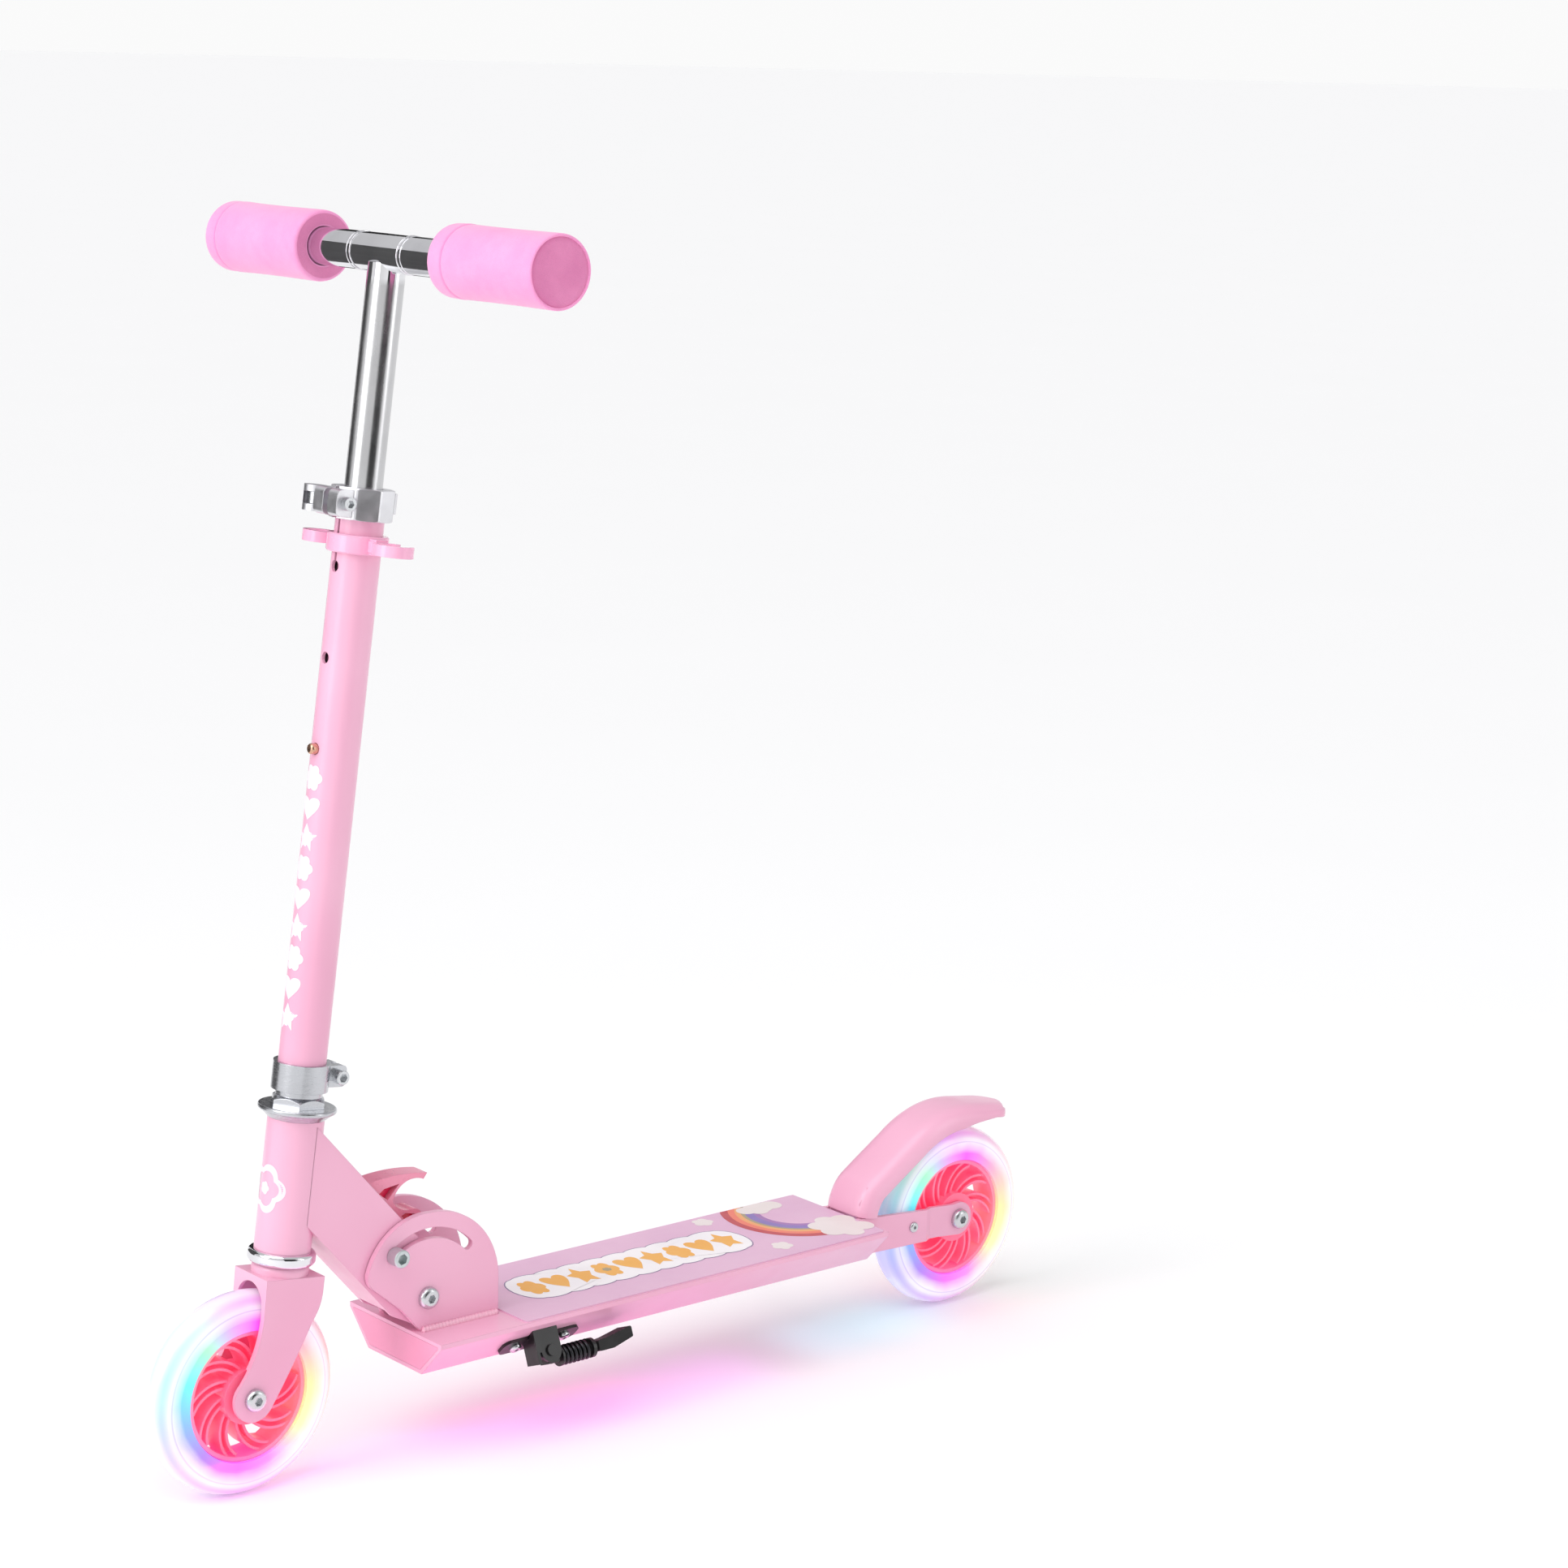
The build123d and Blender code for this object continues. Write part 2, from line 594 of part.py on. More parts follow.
def neck_channel():
    """The bent channel from the fold pivot to the head tube: two sides and a lower wall."""
    body = slab(neck_outline(), -NECK_HALF, NECK_HALF)
    room = make_face(Polyline(
        (-40, -NECK_DOWN + NECK_WALL + 12), (10, -NECK_DOWN + NECK_WALL + 12),
        (22, -NECK_DOWN + NECK_WALL), (170, -NECK_DOWN + NECK_WALL), (170, 40), (-40, 40), close=True))
    inner = NECK_HALF - NECK_WALL
    body -= slab(room, -inner, inner)
    body -= block(-40, 14, -inner, inner, -40, 40)
    body -= along_y(rod(PIVOT_R + FIT, -30, 30))
    slot = Pos(LOCK_ARM + LATCH_THROW / 2, LOCK_RISE) * SlotOverall(LATCH_THROW + 2 * LOCK_R + 0.9,
                                                                    2 * LOCK_R + 0.5)
    body -= slab(slot, -30, 30)
    body -= Pos(LATCH_U, 0, LATCH_V) * along_y(rod(LATCH_PIN_R + TOUCH, -30, 30))
    body = NECK * body
    ahead = STEER * block(0, 200, -60, 60, -200, 400)
    return body - ahead - STEER * rod(HEAD_R + TOUCH, -200, 400)


# ---- latch, drawn in the neck's frame -----------------------------------------------------
LATCH_HALF = 7.0
LATCH_WEB = 2.5
ARM_EYE_R = 6.4


def latch_arm():
    """Side view of the latch's arm, from its pivot to the lock pin."""
    eyes = Pos(LOCK_ARM, LOCK_RISE) * Circle(ARM_EYE_R) + Pos(LATCH_U, LATCH_V) * Circle(ARM_EYE_R)
    return make_hull(eyes.edges())


def latch_tab():
    """Side view of the latch's hooked thumb tab and the hump behind it."""
    return make_face([
        Line((44, 9), (66, 15)),
        Line((66, 15), (80, 22)),
        ThreePointArc((80, 22), (68, 38.2), (49.4, 55.6)),
        Line((49.4, 55.6), (48.6, 51.2)),
        ThreePointArc((48.6, 51.2), (58.2, 40), (55.9, 27.6)),
        ThreePointArc((55.9, 27.6), (47.5, 28.2), (41, 33.4)),
        ThreePointArc((41, 33.4), (35.5, 36.4), (30, 34)),
        Line((30, 34), (29, 20)),
        Line((29, 20), (36, 12)),
        Line((36, 12), (44, 9)),
    ])


def latch_pockets():
    """Side view of the two recesses in each side of the tab."""
    upper = make_face(Polyline((67.5, 24.5), (67, 29), (60.5, 38), (59.5, 26), close=True))
    lower = make_face(Polyline((44, 25.5), (43, 28.5), (36.5, 33.2), (32.5, 31), (32, 25.5), close=True))
    return upper + lower


def latch_lever():
    """The plastic latch lever: a wide arm round both pins, and a narrower recessed tab."""
    half = NECK_HALF - NECK_WALL - 1.0
    body = slab(latch_arm(), -half, half) + slab(latch_tab(), -LATCH_HALF, LATCH_HALF)
    body -= both_sides(slab(latch_pockets(), LATCH_WEB, half))
    body -= Pos(LATCH_U, 0, LATCH_V) * along_y(rod(LATCH_PIN_R + FIT, -30, 30))
    body -= Pos(LOCK_ARM, 0, LOCK_RISE) * along_y(rod(LOCK_R + TOUCH, -30, 30))
    return NECK * body


def latch_pin():
    """The plain pin that the latch lever turns on."""
    return NECK * (Pos(LATCH_U, 0, LATCH_V) * along_y(rod(LATCH_PIN_R, -NECK_HALF, NECK_HALF)))


def lock_pin():
    """The lock pin across the neck and both cheeks, with large socketed ends."""
    end = Pos(0, 0, CHEEK_OUT + 0.4) * rod(5.6, 0, 8.4)
    end = chamfer(top_edges(end), 0.6)
    end -= Pos(0, 0, CHEEK_OUT + 5) * hexagon(6.0, 6)
    end = along_y(end)
    body = along_y(rod(LOCK_R, -CHEEK_OUT - 1, CHEEK_OUT + 1)) + both_sides(end)
    return NECK * (Pos(LOCK_ARM, 0, LOCK_RISE) * body)


# ---- fold cheeks on the deck --------------------------------------------------------------
def cheek_outline():
    """Side view of a cheek about the pivot (0, 0): a round plate with a straight foot."""
    foot_z = SHELL_Z - PIVOT_Z
    nose = (43.5, 22.0)
    top = (-1.5, 2.0 + CHEEK_R)
    back = (-1.5 - CHEEK_R, 2.0)
    return make_face([
        ThreePointArc(nose, (26.0, 46.5), top),
        ThreePointArc(top, (-38.0, 38.5), back),
        Line(back, (-CHEEK_R - 1.5, foot_z)),
        Line((-CHEEK_R - 1.5, foot_z), (5.0, foot_z)),
        Line((5.0, foot_z), (19.0, -4.5)),
        Line((19.0, -4.5), (38.5, 12.0)),
        ThreePointArc((38.5, 12.0), (42.6, 16.4), nose),
    ])


def cheek_slot():
    """The arc slot that the lock pin travels in as the neck folds."""
    inner = LOCK_ARM - LOCK_R - 0.35
    outer = LOCK_ARM + LATCH_THROW + LOCK_R + 0.5
    middle = (inner + outer) / 2
    start = LOCK_ANGLE - 1.6
    sweep = FOLD_ANGLE + 3.2
    arc = CenterArc((0, 0), middle, start, sweep)
    slot = trace(arc, outer - inner)
    for angle in (start, start + sweep):
        turn = radians(angle)
        slot += Pos(middle * cos(turn), middle * sin(turn)) * Circle((outer - inner) / 2)
    return slot


def fold_cheek(side):
    """One of the two plates welded on the deck, between which the neck folds, with its weld."""
    near, far = sorted((side * CHEEK_IN, side * CHEEK_OUT))
    body = slab(cheek_outline() - cheek_slot(), near, far)
    body -= along_y(rod(PIVOT_R + TOUCH, -40, 40))
    bead = weld_bead() if side > 0 else mirror(weld_bead(), Plane.XZ)
    return Pos(PIVOT_X, 0, PIVOT_Z) * body + bead


def weld_bead():
    """The weld bead along the outer foot of the left cheek."""
    bead = along_x(rod(1.7, PIVOT_X - CHEEK_R, PIVOT_X + 3))
    bead = Pos(0, CHEEK_OUT + 0.9, SHELL_Z + 0.9) * bead
    bead -= block(-400, 400, -CHEEK_OUT, CHEEK_OUT, 0, 400)
    return bead - block(-400, 400, -90, 90, 0, SHELL_Z)


# ---- deck ---------------------------------------------------------------------------------
def deck_section(inset):
    """End view of the deck in Y and Z: a flat top, a short lip and sides that slope inward."""
    slope = inset * 1.5
    half = DECK_HALF - slope
    lower = DECK_BOTTOM_HALF - inset * 0.6
    top = SHELL_Z - inset
    return make_face(Polyline(
        (-half, top), (half, top), (half, SHELL_Z - DECK_LIP - inset * 0.3),
        (lower, DECK_BOTTOM + inset), (-lower, DECK_BOTTOM + inset),
        (-half, SHELL_Z - DECK_LIP - inset * 0.3), close=True))


def deck_prism(inset, x0, x1):
    return Pos(x0, 0, 0) * extrude(Plane.YZ * deck_section(inset), x1 - x0)


def deck_shell():
    """The hollow deck, folded from sheet and open at both ends."""
    body = deck_prism(0, DECK_REAR, DECK_FRONT)
    body -= deck_prism(DECK_WALL, DECK_REAR - 1, DECK_FRONT + 1)
    for x in STAND_SCREWS:
        body -= stand_screw_place(x) * rod(2.0 + TOUCH, -12, 12)
    return body


def deck_front_cap():
    """The plate that closes the deck's front end."""
    return deck_prism(DECK_WALL + TOUCH, DECK_FRONT - 2.5, DECK_FRONT)


def deck_sheet():
    """The printed grip sheet on top of the deck, behind the cheeks."""
    length = PIVOT_X - CHEEK_R - 4 - DECK_REAR - 1.5
    sheet = Box(length, 2 * DECK_HALF - 3.2, SHEET_T)
    sheet = fillet(sheet.edges().filter_by(Axis.Z), 3.0)
    return Pos(DECK_REAR + 1.5 + length / 2, 0, DECK_Z - SHEET_T / 2) * sheet


# ---- rear arms and fender -----------------------------------------------------------------
ARM_TOP = 81.0
ARM_BOTTOM = 55.5
STEP_X = REAR_X + 30.0


def arm_plan():
    """Plan of the left arm: straight beside the tyre, then stepped in beside the hub."""
    outer = ARM_OUT
    inner = ARM_OUT - ARM_T
    step = ARM_STEP
    return make_face(Polyline(
        (DECK_REAR, outer), (STEP_X + 3, outer), (STEP_X - 3, outer - step),
        (REAR_X - 20, outer - step), (REAR_X - 20, inner - step), (STEP_X - 4, inner - step),
        (STEP_X + 2, inner), (DECK_REAR, inner), close=True))


def arm_side():
    """Side view of an arm: level below the deck's top, with a rounded end round the axle."""
    eye = Pos(REAR_X, WHEEL_R) * Circle(11.5)
    bar = make_face(Polyline(
        (DECK_REAR, ARM_TOP), (REAR_X + 6, WHEEL_R + 11), (REAR_X, WHEEL_R + 11.5),
        (REAR_X, WHEEL_R - 11.5), (REAR_X + 20, ARM_BOTTOM - 2.5), (DECK_REAR, ARM_BOTTOM),
        close=True))
    return eye + bar


def rear_fork():
    """The rear axle's carrier: a plate closing the deck's end, and two welded arms."""
    arm = extrude(arm_plan(), 200) & slab(arm_side(), -40, 40)
    body = both_sides(arm) + deck_prism(DECK_WALL + TOUCH, DECK_REAR, DECK_REAR + 3.0)
    body -= rear(along_y(rod(AXLE_R + TOUCH, -40, 40)))
    body -= Pos(FENDER_PIN_X, 0, FENDER_PIN_Z) * along_y(rod(3.0 + TOUCH, -40, 40))
    body -= Pos(ARM_SCREW_X, 0, ARM_SCREW_Z) * along_y(rod(2.0 + TOUCH, -40, 40))
    return body


ARM_SCREW_X = REAR_X + 45.5
ARM_SCREW_Z = 66.0


def arm_screws():
    """The small screw halfway along each arm, which holds the mudguard stop."""
    screw = rod(2.0, -ARM_T - 1.5, 0) + button_head(3.6, 1.8, 2.2)
    screw = Pos(ARM_SCREW_X, ARM_OUT, ARM_SCREW_Z) * along_y(screw)
    return both_sides(screw)


def fender_line(radius):
    """Side view of the fender's skin: a straight rise, an arc over the tyre, a level tail."""
    front_turn = radians(36)
    back_turn = radians(-9)
    start = (REAR_X + radius * sin(front_turn), WHEEL_R + radius * cos(front_turn))
    top = (REAR_X, WHEEL_R + radius)
    end = (REAR_X + radius * sin(back_turn), WHEEL_R + radius * cos(back_turn))
    rise = 1.5 * (FENDER_R - radius)
    foot = (DECK_REAR - 2.0 - rise, 88.0)
    tail = (end[0] - 29.0 * cos(back_turn), end[1] + 29.0 * sin(back_turn))
    knee = (REAR_X + 84.0 - rise, 104.0 - rise * 0.3)
    return foot, knee, start, top, end, tail


def fender_face(outer, inner):
    """The strip between two skins of the fender."""
    foot, knee, start, top, end, tail = fender_line(outer)
    foot2, knee2, start2, top2, end2, tail2 = fender_line(inner)
    return make_face([
        Line(foot, knee),
        Line(knee, start),
        ThreePointArc(start, top, end),
        Line(end, tail),
        Line(tail, tail2),
        Line(tail2, end2),
        ThreePointArc(end2, top2, start2),
        Line(start2, knee2),
        Line(knee2, foot2),
        Line(foot2, foot),
    ])


FENDER_TAIL_X = REAR_X - 13.0
TAIL_START_X = REAR_X - 25.0


def fender_plan():
    """Plan of the fender: straight sides that draw in to a rounded tail."""
    end_x = fender_line(FENDER_R)[-1][0]
    shoulder = (end_x + 9.0, 14.5)
    return make_face([
        Line((0, -FENDER_HALF), (0, FENDER_HALF)),
        Line((0, FENDER_HALF), (TAIL_START_X, FENDER_HALF)),
        ThreePointArc((TAIL_START_X, FENDER_HALF), shoulder, (end_x, 0)),
        ThreePointArc((end_x, 0), (shoulder[0], -shoulder[1]), (TAIL_START_X, -FENDER_HALF)),
        Line((TAIL_START_X, -FENDER_HALF), (0, -FENDER_HALF)),
    ])


def fender():
    """The sprung rear fender that brakes the wheel: a folded strip with two flanges and ears."""
    inner = FENDER_HALF - FENDER_T
    skin = slab(fender_face(FENDER_R, FENDER_R - FENDER_T), -FENDER_HALF, FENDER_HALF)
    skin &= extrude(fender_plan(), 300)
    flanges = slab(fender_face(FENDER_R - 0.5, FENDER_R - 11), -FENDER_HALF, FENDER_HALF)
    flanges -= block(-400, 0, -inner, inner, 0, 300)
    flanges -= block(-400, FENDER_TAIL_X, -50, 50, 0, 300)
    ear = slab(fender_ear(), EAR_IN, EAR_IN + FENDER_T)
    return skin + flanges + both_sides(ear)


EAR_IN = 12.6


def fender_ear():
    """Side view of an ear, from the skin's foot down to the pivot pin."""
    foot, knee = fender_line(FENDER_R - 1)[:2]
    eye = Pos(FENDER_PIN_X, FENDER_PIN_Z) * Circle(7.5)
    web = make_face(Polyline(
        (FENDER_PIN_X + 6.5, FENDER_PIN_Z - 3.5), foot, knee, (knee[0] - 5, knee[1] - 3),
        (FENDER_PIN_X - 7.4, FENDER_PIN_Z - 1), close=True))
    return eye + web - Pos(FENDER_PIN_X, FENDER_PIN_Z) * Circle(3.0 + FIT)


def fender_pin():
    """The pin across both arms that the fender turns on."""
    body = rod(3.0, -ARM_OUT - 1, ARM_OUT) + Pos(0, 0, ARM_OUT) * button_head(5.6, 3.4, 4.0)
    body += rod(4.4, -ARM_OUT - 2.4, -ARM_OUT)
    return Pos(FENDER_PIN_X, 0, FENDER_PIN_Z) * along_y(body)


def coil(radius, wire, z0, z1, turns):
    """A helical spring along Z."""
    path = Pos(0, 0, z0) * Helix((z1 - z0) / turns, z1 - z0, radius)
    section = Plane(path @ 0, z_dir=path % 0) * Circle(wire)
    return sweep(section, path=path, is_frenet=True)


def fender_spring():
    """The torsion spring round the fender's pin."""
    body = along_y(coil(5.4, 1.0, -9.0, 9.0, 6))
    return Pos(FENDER_PIN_X, 0, FENDER_PIN_Z) * body


# ---- kickstand ----------------------------------------------------------------------------
STAND_SCREWS = (STAND_X - 18.5, STAND_X + 18.5)


def stand_screw_place(x):
    """A frame on the deck's sloping left side, with Z along the slope's outward normal."""
    rise = SHELL_Z - DECK_LIP - DECK_BOTTOM
    run = DECK_HALF - DECK_BOTTOM_HALF
    lean = degrees(atan2(rise, run))
    return Pos(x, DECK_BOTTOM_HALF + run * 0.34, DECK_BOTTOM + rise * 0.34) * Rot(lean - 180, 0, 0)


def stand_bracket():
    """The folded bracket: a plate screwed to the deck's slope and two cheeks for the hinge."""
    tab = fillet(Box(58.0, 14.0, 2.0).edges().filter_by(Axis.Z), 5.0)
    body = stand_screw_place(STAND_X) * (Pos(0, 0, 1.0) * tab)
    side = Circle(7.5) + Pos(1.75, 15) * Rectangle(18.5, 30)
    cheeks = both_sides(slab(side, EYE_HALF + GAP, EAR_HALF))
    wall = block(8.8, 11.0, -EAR_HALF, EAR_HALF, -7.0, 30.0)
    hood = STAND * (cheeks + wall)
    body += hood - stand_screw_place(STAND_X) * block(-60, 60, -90, 90, -90, 0)
    for x in STAND_SCREWS:
        body -= stand_screw_place(x) * rod(2.0 + TOUCH, -5, 12)
    return body - STAND * along_y(rod(2.5 + TOUCH, -20, 20))


def stand_screws():
    """The two screws that hold the bracket to the deck."""
    screws = []
    for x in STAND_SCREWS:
        head = Pos(0, 0, 2.0 + TOUCH) * button_head(4.0, 2.4, 2.5)
        screws.append(stand_screw_place(x) * (head + rod(2.0, -5.0, 2.5)))
    return screws[0] + screws[1]


def stand_pin():
    """The hinge pin of the stand, riveted at both ends."""
    head = rod(3.6, EAR_HALF + TOUCH, EAR_HALF + 1.5)
    body = rod(2.5, -EAR_HALF - 1, EAR_HALF + 1) + head + mirror(head, Plane.XY)
    return STAND * along_y(body)


def stand_leg():
    """The stand's eye and rod, with a collar at each end of its spring."""
    eye = Circle(EYE_R) + Pos(-1.5, -4.2) * Rectangle(9.0, 8.0)
    body = slab(eye, -EYE_HALF, EYE_HALF)
    along = Pos(0, 0, -STAND_DROP) * Rot(0, -90, 0)
    body += along * rod(3.6, 2.0, 38.0)
    body += along * rod(6.4, 8.0, 9.6)
    body += along * rod(6.2, 32.0, 34.5)
    body -= along_y(rod(2.5 + FIT, -20, 20))
    return STAND * body


def stand_foot():
    """The flat rubber-covered paddle at the leg's end."""
    side = make_face(Polyline((-36, -8.4), (-36, -1.6), (-46, -0.6), (-STAND_REACH, 2.6),
                              (-STAND_REACH, -4.4), (-47, -8.4), close=True))
    body = slab(side, -6.5, 6.5)
    body = fillet(body.edges().filter_by(Axis.Y), 1.2)
    body -= Pos(0, 0, -STAND_DROP) * (Rot(0, -90, 0) * rod(3.6 + TOUCH, 20.0, 38.0 + TOUCH))
    return STAND * body


def stand_spring():
    """The coil spring round the stand's rod."""
    body = coil(SPRING_R, SPRING_WIRE, 11.0, 30.6, 6)
    return STAND * (Pos(0, 0, -STAND_DROP) * (Rot(0, -90, 0) * body))


# ---- every node ---------------------------------------------------------------------------
def build_parts():
    """Every node's name and its shape."""
    parts = {
        "deck_shell": deck_shell(),
        "deck_front_cap": deck_front_cap(),
        "rear_fork": rear_fork(),
        "deck_sheet": deck_sheet(),
        "pivot_bolt": Pos(PIVOT_X, 0, PIVOT_Z) * cross_bolt(PIVOT_R, CHEEK_OUT),
        "arm_screws": arm_screws(),
        "rear_axle_bolt": rear(cross_bolt(AXLE_R, ARM_OUT - ARM_STEP)),
        "fender_pin": fender_pin(),
        "kickstand_bracket": stand_bracket(),
        "kickstand_screws": stand_screws(),
        "kickstand_pin": stand_pin(),
        "head_tube": head_tube(),
        "neck_channel": neck_channel(),
        "lower_cup": lower_cup(),
        "upper_cup": upper_cup(),
        "headset_bearings": headset_bearings(),
        "latch_pin": latch_pin(),
        "latch_lever": latch_lever(),
        "lock_pin": lock_pin(),
        "fork": fork(),
        "steerer_tube": steerer(),
        "flange_washer": flange_washer(),
        "locknut": locknut(),
        "stem_tube": stem_tube(),
        "lower_collar": lower_collar(),
        "collar_bolt": collar_bolt(),
        "stem_shim": stem_shim(),
        "clamp_collar": clamp_collar(),
        "clamp_bolt": clamp_bolt(),
        "clip_holder": clip_holder(),
        "front_axle_bolt": front(cross_bolt(AXLE_R, FORK_HALF)),
        "front_axle_spacers": front(axle_spacers()),
        "clamp_lever": clamp_lever(),
        "t_tube": t_tube(),
        "t_tube_bush": t_tube_bush(),
        "height_button": height_button(),
        "height_spring": height_spring(),
        "fender": fender(),
        "fender_spring": fender_spring(),
        "kickstand_leg": stand_leg(),
        "kickstand_foot": stand_foot(),
        "kickstand_spring": stand_spring(),
    }
    for word, side in (("left", 1), ("right", -1)):
        parts[f"fold_cheek_{word}"] = fold_cheek(side)
        parts[f"bar_{word}"] = bar_tube(side)
        parts[f"grip_{word}"] = bar_grip(side)
        parts[f"bar_button_{word}"] = bar_button(side)
    for word, place, turn in (("front", front, 1), ("rear", rear, -1)):
        parts[f"{word}_tyre"] = place(tyre())
        parts[f"{word}_hub"] = place(hub(turn))
        parts[f"{word}_wheel_bearings"] = place(wheel_bearings())
        parts[f"{word}_led_ring"] = place(led_ring())
        parts[f"{word}_magnet_core"] = place(magnet_core())
    return parts


os.makedirs("parts", exist_ok=True)
for node, shape in build_parts().items():
    export_step(shape, f"parts/{node}.step")
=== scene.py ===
import math

import bmesh
import bpy
from mathutils import Matrix, Vector


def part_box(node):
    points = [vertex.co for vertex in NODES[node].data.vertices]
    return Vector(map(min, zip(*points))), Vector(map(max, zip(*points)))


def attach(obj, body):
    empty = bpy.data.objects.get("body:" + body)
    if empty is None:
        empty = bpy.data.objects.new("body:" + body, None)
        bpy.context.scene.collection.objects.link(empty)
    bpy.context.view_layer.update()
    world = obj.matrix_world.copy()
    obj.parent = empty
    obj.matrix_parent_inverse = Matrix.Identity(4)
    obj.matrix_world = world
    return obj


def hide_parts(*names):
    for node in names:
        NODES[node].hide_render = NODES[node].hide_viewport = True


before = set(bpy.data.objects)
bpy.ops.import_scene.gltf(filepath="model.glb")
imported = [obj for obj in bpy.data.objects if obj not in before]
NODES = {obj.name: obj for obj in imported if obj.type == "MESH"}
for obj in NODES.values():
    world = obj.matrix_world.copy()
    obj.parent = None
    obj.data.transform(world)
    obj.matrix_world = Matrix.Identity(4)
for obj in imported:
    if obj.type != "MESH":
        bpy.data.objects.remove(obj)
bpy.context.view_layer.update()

# The CAD's own measures, in metres. The steering column leans back, and passes behind the front axle.
TILT = math.radians(7.1)
AXLE_X = 0.2855
WHEEL_Z = 0.0625
TRAIL = 0.020
COLUMN = Vector((AXLE_X - TRAIL * math.cos(TILT), 0, WHEEL_Z - TRAIL * math.sin(TILT)))
AHEAD = Vector((math.cos(TILT), 0, math.sin(TILT)))
UP_COLUMN = Vector((-math.sin(TILT), 0, math.cos(TILT)))
LEFT = Vector((0, 1, 0))
SIDES = (("left", 1), ("right", -1))
PIVOT = Vector((0.1641, 0, 0.1015))
NECK_ANGLE = math.radians(48.4)
DECK_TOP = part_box("deck_sheet")[1].z
SHEET_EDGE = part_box("deck_sheet")[1].y - 0.0004

# A noise texture's values lie mostly between these two.
NOISE_LOW, NOISE_HIGH = 0.35, 0.65


def srgb(r, g, b):
    """An 8-bit screen colour as a linear colour."""
    return tuple(((c / 255 + 0.055) / 1.055) ** 2.4 if c > 10 else c / 3295 for c in (r, g, b)) + (1,)


# ---- materials ----------------------------------------------------------------------------
class Look:
    """A node material: a Principled shader with its colour, roughness and bump built from noise."""

    def __init__(self, name, rough=0.4, metal=0.0, **sockets):
        self.mat = bpy.data.materials.new(name)
        self.mat.use_nodes = True
        self.tree = self.mat.node_tree
        self.shader = self.tree.nodes["Principled BSDF"]
        self.shader.inputs["Roughness"].default_value = rough
        self.shader.inputs["Metallic"].default_value = metal
        for socket, value in sockets.items():
            self.shader.inputs[socket.replace("_", " ")].default_value = value
        self.coord = self.tree.nodes.new("ShaderNodeTexCoord")

    def node(self, kind, **settings):
        made = self.tree.nodes.new("ShaderNode" + kind)
        for key, value in settings.items():
            setattr(made, key, value)
        return made

    def link(self, a, b):
        self.tree.links.new(a, b)

    def noise(self, scale, detail=3.0, rough=0.5, stretch=(1, 1, 1)):
        mapping = self.node("Mapping")
        mapping.inputs["Scale"].default_value = stretch
        self.link(self.coord.outputs["Object"], mapping.inputs["Vector"])
        tex = self.node("TexNoise")
        tex.inputs["Scale"].default_value = scale
        tex.inputs["Detail"].default_value = detail
        tex.inputs["Roughness"].default_value = rough
        self.link(mapping.outputs["Vector"], tex.inputs["Vector"])
        return tex.outputs["Fac"]

    def clouds(self, scale, detail, rough=0.5, stretch=(1, 1, 1)):
        """Noise spread to run from 0 to 1."""
        return self.remap(self.noise(scale, detail, rough, stretch), NOISE_LOW, NOISE_HIGH, 0, 1)

    def cells(self, scale):
        tex = self.node("TexVoronoi", feature="F1")
        tex.inputs["Scale"].default_value = scale
        self.link(self.coord.outputs["Object"], tex.inputs["Vector"])
        return tex.outputs["Distance"]

    def remap(self, value, low, high, to_low, to_high):
        made = self.node("MapRange")
        limits = {"From Min": low, "From Max": high, "To Min": to_low, "To Max": to_high}
        for socket, number in limits.items():
            made.inputs[socket].default_value = number
        self.link(value, made.inputs["Value"])
        return made.outputs["Result"]

    def math(self, operation, a, b=None):
        made = self.node("Math", operation=operation)
        for socket, value in zip(made.inputs, (a, b)):
            if value is None:
                continue
            if isinstance(value, (int, float)):
                socket.default_value = value
            else:
                self.link(value, socket)
        return made.outputs[0]

    def mix(self, share, a, b):
        made = self.node("Mix", data_type="RGBA")
        self.link(share, made.inputs["Factor"])
        for name, value in (("A", a), ("B", b)):
            socket = next(s for s in made.inputs if s.name == name and s.type == "RGBA")
            if isinstance(value, tuple):
                socket.default_value = value
            else:
                self.link(value, socket)
        return next(s for s in made.outputs if s.type == "RGBA")

    def ramp(self, value, *stops):
        made = self.node("ValToRGB")
        ramp = made.color_ramp
        while len(ramp.elements) < len(stops):
            ramp.elements.new(0.5)
        for element, (place, colour) in zip(ramp.elements, stops):
            element.position = place
            element.color = colour
        self.link(value, made.inputs["Fac"])
        return made.outputs["Color"]

    def colour(self, source):
        self.link(source, self.shader.inputs["Base Color"])
        return self

    def rough_by(self, source, low, high):
        spread = self.remap(source, NOISE_LOW, NOISE_HIGH, low, high)
        self.link(spread, self.shader.inputs["Roughness"])
        return self

    def bump(self, source, strength, distance, edge=0.0):
        made = self.node("Bump")
        made.inputs["Strength"].default_value = strength
        made.inputs["Distance"].default_value = distance
        self.link(source, made.inputs["Height"])
        if edge:
            soft = self.node("Bevel", samples=4)
            soft.inputs["Radius"].default_value = edge
            self.link(soft.outputs["Normal"], made.inputs["Normal"])
        self.link(made.outputs["Normal"], self.shader.inputs["Normal"])
        return self


